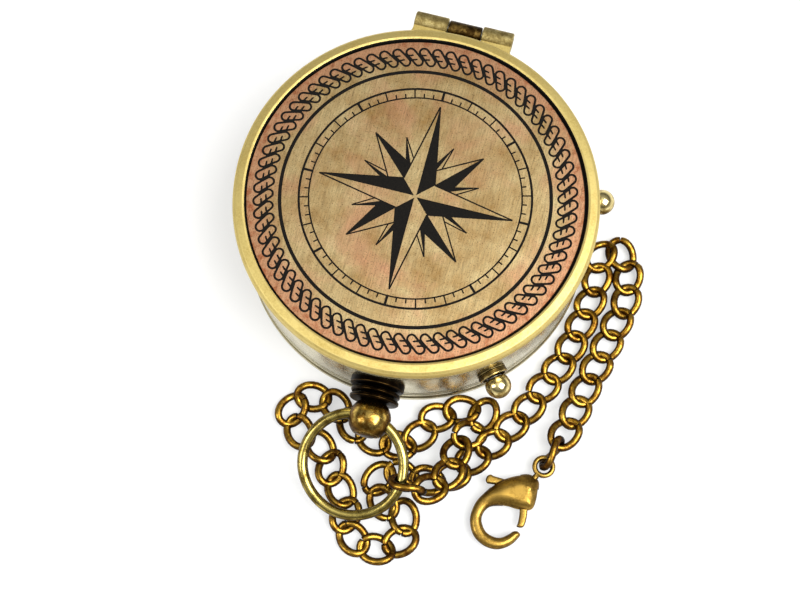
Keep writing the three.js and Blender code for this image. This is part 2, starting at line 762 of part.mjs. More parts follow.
// The chain's route on the table, from the bow ring to the clasp, as hand-placed points around a case of
// routeCaseRadius. Around a case of another size each point moves in or out with the wall.
const routeCaseRadius = 29.3;
function besideCase([x, y, z = 0]) {
  const distance = Math.hypot(x, y);
  const scale = (distance + caseRadius - routeCaseRadius) / distance;
  return new THREE.Vector3(x * scale, y * scale, z);
}
const chainRoute = [
  [13.8, -43.3, 5.7], [15.7, -40.9, 4.6], [16.6, -37.7, 3.7], [16.4, -34.3, 2.4], [18.5, -31, 1.1], [19.2, -27.9, 1.1],
  [16.8, -27.9, 1.1], [13.8, -29.5, 1.1], [11, -31.6, 1.1], [9.9, -34.2, 1.1], [8.6, -36.4, 1.1], [6.2, -37.2, 1.1],
  [3.7, -37.3, 1.1], [1.1, -36.9, 1.1], [-1.7, -35.7, 1.1], [-4.1, -33.8, 1.1], [-6.8, -32.8, 1.1], [-9.6, -32.8, 1.1],
  [-11.8, -34.4, 1.1], [-12.1, -36.9, 1.1], [-9.9, -39.1, 1.1], [-6.3, -40.4, 1.1], [-3.5, -42.3, 1.1],
  [-2.7, -45.2, 1.1], [-0.1, -47.2, 1.1], [1.2, -49.8, 1.1], [1.8, -52.6, 1.1], [4.5, -54.3, 1.1], [7.4, -54.7, 1.1],
  [10.4, -53.4, 1.1], [11.7, -50.5, 1.1], [10.3, -47.9, 1.1], [7.2, -47.2, 1.2], [5, -44.9, 1.6], [5.6, -42.5, 2.1],
  [8.2, -41.9, 2.2], [11.2, -41.9, 1.7], [14.4, -41.1, 1.2], [17.5, -39.5, 1.1], [19.9, -36.7, 1.1], [22.1, -33.8, 1.1],
  [24, -30.2, 1.1], [25.9, -26.2, 1.1], [27.6, -21.9, 1.1], [29.4, -17.9, 1.1], [30.7, -13.6, 1.1],
  [31.6, -8.9, 1.1], [32.3, -4.3, 1.1], [32.4, 0.4, 1.1], [32.2, 4.4, 1.1], [34.4, 5.9, 1.1], [36.6, 4.1, 1.1],
  [37.8, 0.4, 1.1], [38.1, -3.9, 1.1], [37.2, -8.3, 1.1], [36.3, -13.1, 1.1], [35.2, -18, 1.1], [34.3, -22.6, 1.4],
  [33.2, -28.1, 2.25],
];

// The last link of each stretch, counted from the bow ring.
const chainStretches = [
  ["chain_bow_stretch", 3],
  ["chain_right_loop", 7],
  ["chain_under_pendant", 12],
  ["chain_left_loop", 17],
  ["chain_front_loop", 24],
  ["chain_middle_run", 30],
  ["chain_inner_strand", 38],
  ["chain_turn", 42],
  ["chain_outer_strand", 60],
];

function makeChain(root) {
  const long = (linkLength - linkWire) / 2;
  const pitch = 2 * long - linkWire;
  const crossing = Math.acos(pitch / (2 * long));
  const weldedTwist = (linkWire - linkWeld) / (2 * Math.sin(2 * crossing));
  const looseTwist = (linkWire + seatGap) / (2 * Math.sin(2 * crossing));
  const route = new THREE.CatmullRomCurve3(chainRoute.map(besideCase), false, "centripetal");
  route.arcLengthDivisions = 800;
  const length = route.getLength();
  const count = Math.round(length / pitch) + 1;
  const stretchOf = (i) => chainStretches.find(([, last]) => i < last)[0];
  const linkAt = (i, twist, wire) => {
    const u = i / (count - 1);
    const here = route.getPointAt(u);
    const ahead = route.getTangentAt(u);
    const side = new THREE.Vector3(0, 0, 1).cross(ahead).normalize();
    const up = ahead.clone().cross(side);
    const matrix = new THREE.Matrix4().makeBasis(ahead, side, up).setPosition(here);
    return chainLink(twist, wire).transform(matrix.elements);
  };
  const stretches = new Map();
  for (let i = 0; i < count; i++) {
    const name = stretchOf(i);
    const startsStretch = i > 0 && stretchOf(i - 1) !== name;
    const endsStretch = i < count - 1 && stretchOf(i + 1) !== name;
    let link = linkAt(i, startsStretch || endsStretch ? looseTwist : weldedTwist);
    if (startsStretch) link = link.subtract(linkAt(i - 1, looseTwist, linkWire + 2 * seatGap));
    stretches.set(name, stretches.has(name) ? stretches.get(name).add(link) : link);
  }
  for (const [name, solid] of stretches) addPiece(root, name, solid, chainBronze);

  const { across, down, centre } = bowFrame();
  const normal = across.clone().cross(down);
  const inside = long - linkWire / 2;
  const reach = bowRadius + inside - bowWire / 2 - seatGap;
  const place = centre.clone().addScaledVector(across, reach);
  const basis = new THREE.Matrix4().makeBasis(across, normal, down.clone().negate()).setPosition(place);
  addPiece(root, "chain_bow_link", chainLink(0).transform(basis.elements), chainBronze);

  const eye = besideCase(claspEye).setZ(linkWidth / 2 + 0.1);
  const back = besideCase(chainRoute.at(-1)).sub(eye).setZ(0).normalize();
  const outwards = new THREE.Vector3(0, 0, 1).cross(back);
  const atEye = eye.clone().addScaledVector(back, claspLinkReach);
  const upright = new THREE.Matrix4().makeBasis(back, new THREE.Vector3(0, 0, 1), outwards.negate());
  const claspLink = chainLink(0).transform(upright.setPosition(atEye).elements);
  addPiece(root, "chain_clasp_link", claspLink, chainBronze);
}

function makeClasp(root) {
  const clasp = new THREE.Group();
  clasp.position.copy(besideCase(claspEye).setZ(claspMiddle));
  clasp.rotation.z = rad(claspAzimuth);
  root.add(clasp);

  const half = claspThickness / 2;
  const bevel = 0.7;
  const teardrop = new THREE.Shape();
  teardrop.moveTo(1.9, -0.2);
  teardrop.quadraticCurveTo(3.6, -1.8, 5.4, -2.9);
  teardrop.quadraticCurveTo(7.4, -3.9, 9.6, -4.1);
  teardrop.lineTo(9.9, -3.6);
  teardrop.quadraticCurveTo(8.3, -1.4, 7.9, 0.5);
  teardrop.lineTo(7, 2.4);
  teardrop.quadraticCurveTo(4.6, 2.2, 1.9, 0.4);
  teardrop.closePath();
  const shellGeometry = new THREE.ExtrudeGeometry(teardrop, {
    depth: claspThickness - 2 * bevel,
    bevelThickness: bevel,
    bevelSize: bevel,
    bevelOffset: -0.1,
    bevelSegments: 2,
    curveSegments: 3,
  });
  const shell = solidOf(shellGeometry.translate(0, 0, -half + bevel));
  const hookMiddle = hookInner + hookWire / 2;
  const hookAt = (t) => {
    const turn = rad(hookStart + (hookEnd - hookStart) * t);
    return new THREE.Vector3(hookCentre + hookMiddle * Math.cos(turn), hookMiddle * Math.sin(turn), 0);
  };
  const hook = tubeAlong(hookAt, hookWire / 2, 14, 8, false);
  const eyeLow = claspEyeLift - claspEyeThickness / 2;
  const eyeHigh = claspEyeLift + claspEyeThickness / 2;
  const eye = ring(claspEyeInner, claspEyeOuter, eyeLow, eyeHigh, 16);
  const neck = block([claspEyeInner + 0.25, -0.6, eyeLow], [2.6, 0.6, eyeHigh]);
  const slotHalf = triggerThickness / 2 + 0.25;
  const slot = join(
    block([3.5, -6, -slotHalf], [8.35, 5, slotHalf]),
    block([8.3, -1, -slotHalf], [9.6, 5, slotHalf]),
  );
  const rivetHole = disc(rivetRadius + seatGap, -half - 1, half + 1, 12).translate([...triggerPivot, 0]);
  const body = cut(join(shell, hook, eye, neck), slot, rivetHole);
  addPiece(clasp, "clasp_body", body, chainBronze);

  const outline = [
    [6.7, -6.15], [7.3, -6.4], [7.9, -6.1], [8, -5.5], [7.4, -4.7], [6.2, -2], [6, -0.6], [8.3, 1.5], [9.9, 2.45],
    [10.6, 2.75], [9.95, 3.6], [8.4, 3.1], [6.6, 2], [4.6, 1.3], [3.85, 0.7], [3.9, -0.6], [5.2, -2.6], [6.4, -5.2],
  ];
  const lever = flatPiece(outline, -triggerThickness / 2, triggerThickness / 2);
  const pivotHole = disc(rivetRadius + turningGap, -2, 2, 12).translate([...triggerPivot, 0]);
  addPiece(clasp, "clasp_trigger", cut(lever, pivotHole), chainBronze);

  const rivet = disc(rivetRadius, -half + 0.05, half - 0.05, 12).translate([...triggerPivot, 0]);
  addPiece(clasp, "clasp_rivet", rivet, darkBronze);

  const spring = flatPiece([[3.62, -0.2], [3.62, -1.3], [4.5, -2.2], [4.32, -2.36], [3.6, -1.7]], -0.35, 0.35);
  addPiece(clasp, "clasp_spring", spring, springSteel);
}

const compass = new THREE.Group();
makeCase(compass);
const toeTop = makeLid(compass);
makeHinge(compass);
makePendant(compass);
makeBow(compass);
makeCatch(compass, toeTop);
makeWorks(compass);
makeArrest(compass);
makeChain(compass);
makeClasp(compass);

export default compass;
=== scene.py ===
"""Engraved brass pocket compass: the dressed model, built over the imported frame.

Lengths are millimetres unless a name ends in _m. The frame's origin is the centre of the case's flat base,
+Z is up and +Y points at the lid hinge.
"""

import logging
import math
from dataclasses import dataclass, field
from enum import Enum
from functools import partial
from typing import Callable, Iterable, Sequence

import bmesh
import bpy
import numpy as np
from mathutils import Matrix, Vector
from mathutils.geometry import delaunay_2d_cdt


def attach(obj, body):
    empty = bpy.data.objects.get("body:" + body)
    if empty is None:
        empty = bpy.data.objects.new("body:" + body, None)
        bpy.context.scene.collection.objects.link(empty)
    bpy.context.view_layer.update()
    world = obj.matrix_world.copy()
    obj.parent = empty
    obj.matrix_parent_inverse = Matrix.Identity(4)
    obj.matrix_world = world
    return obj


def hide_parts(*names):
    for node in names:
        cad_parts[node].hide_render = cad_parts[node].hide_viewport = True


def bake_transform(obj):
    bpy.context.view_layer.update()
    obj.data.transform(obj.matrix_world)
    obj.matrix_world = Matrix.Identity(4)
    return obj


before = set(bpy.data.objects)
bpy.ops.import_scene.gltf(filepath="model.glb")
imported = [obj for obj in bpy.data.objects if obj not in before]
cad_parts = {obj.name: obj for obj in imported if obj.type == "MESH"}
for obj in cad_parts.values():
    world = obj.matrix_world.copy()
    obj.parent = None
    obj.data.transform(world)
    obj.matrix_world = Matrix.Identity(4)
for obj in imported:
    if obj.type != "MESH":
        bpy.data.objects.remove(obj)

logging.basicConfig(level=logging.INFO, format="%(name)s: %(message)s")
log = logging.getLogger("compass")

MM = 0.001
TAU = 2 * math.pi
UP = Vector((0, 0, 1))
Point2 = tuple[float, float]
Point3 = tuple[float, float, float]
Outline = Sequence[Point2]
Groove = list[list[Point2]]
Adder = Callable[..., bpy.types.Node]


class Steps(Enum):
    """How many steps go round a turned part, by its kind."""

    CASE = 288
    GLASS = 192
    COLLAR = 96
    STUD = 72
    CAP = 48
    PIN = 32
    RIVET = 24


# Small tools for colours, nodes and meshes.


def srgb(code: str) -> tuple[float, float, float, float]:
    """Turns an sRGB hex colour into linear RGBA.

    Args:
        code: six hex digits.

    Returns:
        Linear red, green, blue and an alpha of 1.
    """
    parts = [int(code[i : i + 2], 16) / 255 for i in (0, 2, 4)]
    linear = [c / 12.92 if c <= 0.04045 else ((c + 0.055) / 1.055) ** 2.4 for c in parts]
    return linear[0], linear[1], linear[2], 1.0


def per(size: float) -> float:
    """The scale of a pattern whose grains are this many millimetres."""
    return 1 / (size * MM)


def add_node(
    tree: bpy.types.NodeTree,
    kind: str,
    inputs: dict | None = None,
    stops: Sequence[tuple[float, str | float]] = (),
    **settings: object,
) -> bpy.types.Node:
    """Adds a node with its settings and links.

    Args:
        tree: the node tree.
        kind: the node's type, without the ShaderNode before it.
        inputs: socket name or number to a value, an output, or a node whose first live output is linked.
        stops: a colour ramp's (position, sRGB hex or grey level), from low to high.
        settings: properties of the node itself.

    Returns:
        The new node.
    """
    node = tree.nodes.new("ShaderNode" + kind)
    for name, value in settings.items():
        setattr(node, name, value)
    for key, value in (inputs or {}).items():
        if isinstance(value, bpy.types.Node):
            value = next(o for o in value.outputs if o.enabled)
        if isinstance(value, bpy.types.NodeSocket):
            tree.links.new(value, node.inputs[key])
        else:
            node.inputs[key].default_value = value
    if stops:
        elements = node.color_ramp.elements
        while len(elements) < len(stops):
            elements.new(0.5)
        for element, (position, value) in zip(elements, stops):
            element.position = position
            element.color = srgb(value) if isinstance(value, str) else (value, value, value, 1.0)
    return node


def arc(centre: Point2, radius: float, start: float, end: float, count: int) -> list[Point2]:
    """Points on an arc in a plane.

    Args:
        centre: the arc's centre.
        radius: its radius.
        start: first angle in degrees.
        end: last angle in degrees.
        count: how many steps it has.

    Returns:
        count + 1 points.
    """
    steps = (math.radians(start + (end - start) * i / count) for i in range(count + 1))
    return [(centre[0] + radius * math.cos(a), centre[1] + radius * math.sin(a)) for a in steps]


def polar(radius: float, bearing: float) -> Point2:
    """A point at a radius and a bearing in degrees."""
    return radius * math.sin(math.radians(bearing)), radius * math.cos(math.radians(bearing))


def circle(radius: float, step: int = 2) -> list[Point2]:
    """A circle in a plane, with a point each step degrees."""
    return [polar(radius, i) for i in range(0, 360, step)]


def ring(radius: float, z: float) -> list[Point3]:
    """A level circle with a point each degree."""
    turns = (math.radians(i) for i in range(360))
    return [(radius * math.cos(a), radius * math.sin(a), z) for a in turns]


def rounded(corners: Sequence[Sequence[float]], closed: bool = True, steps: int = 3) -> list[Point2]:
    """Rounds the corners of an outline.

    Args:
        corners: (x, y) or (x, y, radius) for each corner.
        closed: whether the last corner joins the first.
        steps: how many facets each rounding has.

    Returns:
        The rounded outline's points.
    """
    out: list[Point2] = []
    count = len(corners)
    for i, corner in enumerate(corners):
        here = Vector(corner[:2])
        radius = corner[2] if len(corner) > 2 else 0.0
        if radius <= 0 or (not closed and i in (0, count - 1)):
            out.append((here.x, here.y))
            continue
        to_last = Vector(corners[i - 1][:2]) - here
        to_next = Vector(corners[(i + 1) % count][:2]) - here
        u, v = to_last.normalized(), to_next.normalized()
        half = u.angle(v) / 2
        # A rounding takes a little less than half of each side, so that two of them always fit.
        reach = min(radius / math.tan(half), 0.48 * to_last.length, 0.48 * to_next.length)
        size = reach * math.tan(half)
        centre = here + (u + v).normalized() * (size / math.sin(half))
        first, last = here + u * reach - centre, here + v * reach - centre
        for k in range(steps + 1):
            turn = first.lerp(last, k / steps)
            if turn.length > 1e-9:
                turn = turn.normalized() * size
            out.append((centre.x + turn.x, centre.y + turn.y))
    return out


def aim(place: Vector, x_axis: Vector, up: Vector) -> Matrix:
    """A placement from an origin and two directions.

    Args:
        place: where the local origin goes.
        x_axis: where the local x axis points.
        up: what the local z axis leans towards.

    Returns:
        The 4 x 4 matrix.
    """
    x = x_axis.normalized()
    y = up.cross(x).normalized()
    turn = Matrix((x, y, x.cross(y))).transposed().to_4x4()
    turn.translation = place
    return turn


def outward(azimuth: float, height: float) -> Matrix:
    """A placement whose z axis points out of the case's wall.

    Args:
        azimuth: degrees from +X.
        height: height above the base.

    Returns:
        The placement, with its origin on the case's axis.
    """
    a = math.radians(azimuth)
    out = Vector((math.cos(a), math.sin(a), 0))
    turn = Matrix((out.cross(UP) * -1, UP, out)).transposed().to_4x4()
    turn.translation = (0, 0, height)
    return turn


@dataclass
class Shape:
    """A mesh in the making, in millimetres, gathered from several forms. A mark of 1 asks for a filling."""

    points: list[Vector] = field(default_factory=list)
    faces: list[tuple[int, ...]] = field(default_factory=list)
    marks: list[float] = field(default_factory=list)

    def add(
        self,
        points: Iterable[Sequence[float]],
        faces: Iterable[Sequence[int]],
        place: Matrix | None = None,
        marks: list[float] | None = None,
    ) -> "Shape":
        """Adds points and faces.

        Args:
            points: the new points.
            faces: faces as numbers into the new points.
            place: where they go.
            marks: the mark of each new point, 0 if there are none.

        Returns:
            The shape itself.
        """
        base = len(self.points)
        new = [place @ Vector(p) if place else Vector(p) for p in points]
        self.points += new
        self.faces += [tuple(base + i for i in f) for f in faces]
        self.marks += marks or [0.0] * len(new)
        return self

    def rows(
        self,
        rows: Sequence[Sequence[Sequence[float]]],
        place: Matrix | None = None,
        closed: bool = False,
        caps: bool = False,
    ) -> "Shape":
        """Skins loops of points that all have one length.

        Args:
            rows: the loops, one after another.
            place: where they go.
            closed: whether the last loop joins the first.
            caps: whether the end loops are filled.

        Returns:
            The shape itself.
        """
        wide, long = len(rows[0]), len(rows)
        faces: list[tuple[int, ...]] = []
        for i in range(long if closed else long - 1):
            j = (i + 1) % long
            for k in range(wide):
                m = (k + 1) % wide
                faces.append((i * wide + k, i * wide + m, j * wide + m, j * wide + k))
        if caps:
            faces.append(tuple(reversed(range(wide))))
            faces.append(tuple((long - 1) * wide + k for k in range(wide)))
        return self.add([p for row in rows for p in row], faces, place)

    def lathe(self, profile: Outline, steps: Steps, place: Matrix | None = None) -> "Shape":
        """Turns a closed profile round the local z axis.

        Args:
            profile: (radius, z) points, counter-clockwise with radius to the right.
            steps: how finely it is turned.
            place: where it goes.

        Returns:
            The shape itself.
        """
        turns = [TAU * i / steps.value for i in range(steps.value)]
        rows = [[(r * math.cos(a), r * math.sin(a), z) for r, z in profile] for a in turns]
        return self.rows(rows, place, True)

    def plate(
        self, outline: Outline, low: float, high: float, bevel: float = 0.0, place: Matrix | None = None
    ) -> "Shape":
        """Extrudes an outline, with a small chamfer on both its ends.

        Args:
            outline: the outline, counter-clockwise.
            low: z of the underside.
            high: z of the top.
            bevel: the chamfer.
            place: where it goes.

        Returns:
            The shape itself.
        """
        count = len(outline)
        inner = []
        for i, p in enumerate(outline):
            a, b, c = Vector(outline[i - 1]), Vector(p), Vector(outline[(i + 1) % count])
            u, v = (b - a).normalized(), (c - b).normalized()
            side = Vector((-(u.y + v.y), u.x + v.x))
            side = side.normalized() if side.length > 1e-6 else Vector((-u.y, u.x))
            inner.append(b + side * bevel)
        levels = [(outline, low + bevel), (outline, high - bevel)]
        if bevel:
            levels = [(inner, low), *levels, (inner, high)]
        return self.rows([[(p[0], p[1], z) for p in row] for row, z in levels], place, caps=True)

    def tube(
        self,
        line: Sequence[Vector],
        radius: float | Callable[[float], float],
        sides: int = 16,
        closed: bool = False,
    ) -> "Shape":
        """Sweeps a round wire along a line without twist.

        Args:
            line: the centre-line.
            radius: the wire's radius, or a function of the place from 0 to 1.
            sides: how many sides the wire has.
            closed: whether the line is a loop.

        Returns:
            The shape itself.
        """
        count = len(line)
        rows = []
        side: Vector | None = None
        for i, p in enumerate(line):
            before = line[i - 1] if closed or i else p
            after = line[(i + 1) % count] if closed or i < count - 1 else p
            along = (after - before).normalized()
            side = side or along.orthogonal().normalized()
            side = (side - along * side.dot(along)).normalized()
            up = along.cross(side)
            r = radius(i / max(1, count - 1)) if callable(radius) else radius
            turns = [TAU * k / sides for k in range(sides)]
            rows.append([p + (side * math.cos(a) + up * math.sin(a)) * r for a in turns])
        if closed:
            # The wire comes back turned by a little, so its last row is shifted to the nearest match.
            last = rows[-1]
            shift = min(range(sides), key=lambda s: (last[s] - rows[0][0]).length)
            rows[-1] = last[shift:] + last[:shift]
        return self.rows(rows, None, closed, not closed)

    def mesh(self, name: str, weld: float = 1e-4) -> bpy.types.Mesh:
        """Makes the mesh, welded, facing out and in metres.

        Args:
            name: the mesh's name.
            weld: points nearer than this become one.

        Returns:
            The mesh.
        """
        bm = bmesh.new()
        layer = bm.verts.layers.float.new("mark")
        made = []
        for p, m in zip(self.points, self.marks):
            v = bm.verts.new(p)
            v[layer] = m
            made.append(v)
        for f in self.faces:
            if len(set(f)) > 2:
                try:
                    bm.faces.new([made[i] for i in f])
                except ValueError:
                    # Two forms can share a face; the mesh holds it once.
                    pass
        if weld:
            bmesh.ops.remove_doubles(bm, verts=bm.verts, dist=weld)
        bmesh.ops.dissolve_degenerate(bm, edges=bm.edges, dist=1e-5)
        bmesh.ops.recalc_face_normals(bm, faces=bm.faces)
        bmesh.ops.scale(bm, vec=(MM, MM, MM), verts=bm.verts)
        data = bpy.data.meshes.new(name)
        bm.to_mesh(data)
        bm.free()
        return data


def fetch(items: bpy.types.bpy_prop_collection, key: str, width: int = 1, kind: type = float) -> np.ndarray:
    """Reads one property of all items into an array.

    Args:
        items: the mesh's points, edges, corners or faces.
        key: the property.
        width: how many numbers it has.
        kind: float or int.

    Returns:
        A row for each item, or a number if width is 1.
    """
    out = np.empty(len(items) * width, kind)
    items.foreach_get(key, out)
    return out.reshape(-1, width) if width > 1 else out


def mark_wear(data: bpy.types.Mesh) -> None:
    """Writes how sharply each point stands out or lies in, for rubbed edges and dark hollows.

    Args:
        data: the mesh, in metres. It gets the point attributes "wear" and "hollow", both 0 to 1.
    """
    normal, centre = fetch(data.polygons, "normal", 3), fetch(data.polygons, "center", 3) / MM
    edge_of = fetch(data.loops, "edge_index", 1, int)
    face_of = np.repeat(np.arange(len(data.polygons)), fetch(data.polygons, "loop_total", 1, int))
    order = np.argsort(edge_of, kind="stable")
    sorted_edges = edge_of[order]
    pair = np.nonzero(sorted_edges[1:] == sorted_edges[:-1])[0]
    edge, a, b = sorted_edges[pair], face_of[order[pair]], face_of[order[pair + 1]]
    # The bend is the angle between two faces over the way between their middles, negative in a hollow.
    gap = centre[b] - centre[a]
    apart = np.maximum(np.linalg.norm(gap, axis=1), 0.05)
    angle = np.arccos(np.clip((normal[a] * normal[b]).sum(1), -1, 1))
    bend = angle / apart * np.where((gap * normal[a]).sum(1) < 0, 1.0, -1.0)
    ends = fetch(data.edges, "vertices", 2, int)[edge]
    for name, value, low, high in (("wear", bend, 0.9, 5.0), ("hollow", -bend, 0.4, 3.0)):
        most = np.zeros(len(data.vertices))
        for k in (0, 1):
            np.maximum.at(most, ends[:, k], value)
        layer = data.attributes.new(name, "FLOAT", "POINT")
        layer.data.foreach_set("value", np.clip((most - low) / (high - low), 0, 1).astype(np.float32))


def make_piece(
    name: str,
    shape: Shape | bpy.types.Mesh,
    body: str,
    finish: "Finish",
    replaces: Sequence[str] = (),
    sharp: float = 32.0,
    rubbed: bool = True,
    filling: "Finish | None" = None,
    weld: float = 1e-4,
) -> bpy.types.Object:
    """Turns a shape into a piece of the object.

    Args:
        name: the piece's name.
        shape: its shape, or its mesh.
        body: the CAD body it rides on, or nothing for a piece that rides on no body.
        finish: what it is made of.
        replaces: the CAD nodes it stands for.
        sharp: edges over this angle in degrees stay sharp.
        rubbed: whether its edges are rubbed bright and its hollows dark.
        filling: what fills the faces that have a point with the mark 1.
        weld: points of the shape nearer than this become one.

    Returns:
        The piece.
    """
    data = shape.mesh(name, weld) if isinstance(shape, Shape) else shape
    obj = bpy.data.objects.new(name, data)
    bpy.context.scene.collection.objects.link(obj)
    if rubbed:
        mark_wear(data)
    data.polygons.foreach_set("use_smooth", [True] * len(data.polygons))
    data.set_sharp_from_angle(angle=math.radians(sharp))
    data.materials.clear()
    data.materials.append(finish.material())
    if filling:
        data.materials.append(filling.material())
        marks = data.attributes["mark"].data
        for face in data.polygons:
            face.material_index = int(any(marks[i].value > 0.5 for i in face.vertices))
    if replaces:
        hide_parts(*replaces)
    if body:
        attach(obj, body)
    log.info("%s: %d points, rides on %s", name, len(data.vertices), body or "two bodies")
    return obj


def make_wire(name: str, shape: Shape, body: str, finish: "Finish", *replaces: str) -> bpy.types.Object:
    """A piece of bent wire: smooth all over, with no edges to rub and no points to weld."""
    return make_piece(name, shape, body, finish, replaces, 60, False, None, 0)


def merge(name: str, parts: Iterable[bpy.types.Mesh], place: Matrix | None = None) -> bpy.types.Mesh:
    """Puts several meshes into one.

    Args:
        name: the new mesh's name.
        parts: the meshes, in metres.
        place: where the whole goes, in metres.

    Returns:
        The new mesh.
    """
    bm = bmesh.new()
    for part in parts:
        bm.from_mesh(part)
    if place:
        bmesh.ops.transform(bm, matrix=place, verts=bm.verts)
    made = bpy.data.meshes.new(name)
    bm.to_mesh(made)
    bm.free()
    return made


def cut(name: str, base: bpy.types.Mesh, tool: bpy.types.Mesh) -> bpy.types.Mesh:
    """Cuts one mesh with another.

    Args:
        name: the new mesh's name.
        base: the mesh that is cut.
        tool: the mesh that cuts.

    Returns:
        The new mesh.
    """
    objects = [bpy.data.objects.new("cut_part", m) for m in (base, tool)]
    for o in objects:
        bpy.context.scene.collection.objects.link(o)
    step = objects[0].modifiers.new("cut", "BOOLEAN")
    step.operation, step.object, step.solver = "DIFFERENCE", objects[1], "EXACT"
    ready = objects[0].evaluated_get(bpy.context.evaluated_depsgraph_get())
    made = bpy.data.meshes.new_from_object(ready)
    made.name = name
    for o in objects:
        bpy.data.objects.remove(o)
    bm = bmesh.new()
    bm.from_mesh(made)
    bmesh.ops.remove_doubles(bm, verts=bm.verts, dist=2e-6)
    bmesh.ops.dissolve_degenerate(bm, edges=bm.edges, dist=1e-6)
    bm.to_mesh(made)
    bm.free()
    return made


# Finishes. Each is what the real piece is made of, with the detail its surface shows.


@dataclass(frozen=True)
class Finish:
    """What every finish has: a name, and the record's slot that it belongs to."""

    name: str
    slot: str

    def material(self) -> bpy.types.Material:
        """The Blender material, made once.

        Returns:
            The material.
        """
        found = bpy.data.materials.get(self.name)
        if found:
            return found
        made = bpy.data.materials.new(self.name)
        made.use_nodes = True
        made.node_tree.nodes.clear()
        add = partial(add_node, made.node_tree)
        shader = self.build(add, add("TexCoord").outputs["Object"])
        add("OutputMaterial", {"Surface": shader})
        return made

    def build(self, add: Adder, place: bpy.types.NodeSocket) -> bpy.types.Node:
        """Adds the finish's own nodes.

        Args:
            add: adds a node to the material.
            place: the point's place on the object.

        Returns:
            The shader.
        """
        raise NotImplementedError

    def radius(self, add: Adder, place: bpy.types.NodeSocket) -> bpy.types.Node:
        """Measures the distance from the case's axis.

        Args:
            add: adds a node to the material.
            place: the point's place on the object.

        Returns:
            The node with the distance, in metres.
        """
        flat = add("VectorMath", {0: place, 1: (1.0, 1.0, 0.0)}, operation="MULTIPLY")
        return add("VectorMath", {0: flat}, operation="LENGTH")

    def skin(
        self,
        add: Adder,
        colour: bpy.types.Node,
        grain: bpy.types.Node,
        gloss: Point2,
        relief: Point2,
        **more: float,
    ) -> bpy.types.Node:
        """Ends a finish whose roughness and bump follow one grain.

        Args:
            add: adds a node to the material.
            colour: the node with its colour.
            grain: the node with its grain.
            gloss: how much of the grain its roughness takes, and what is added.
            relief: the bump's strength, and its height in millimetres.
            more: other inputs of the shader, with _ for a space.

        Returns:
            The shader.
        """
        rough = add("Math", {0: grain, 1: gloss[0], 2: gloss[1]}, operation="MULTIPLY_ADD")
        bump = add("Bump", {"Height": grain, "Strength": relief[0], "Distance": relief[1] * MM})
        own = {name.replace("_", " "): value for name, value in more.items()}
        return add("BsdfPrincipled", {"Base Color": colour, "Roughness": rough, "Normal": bump, **own})


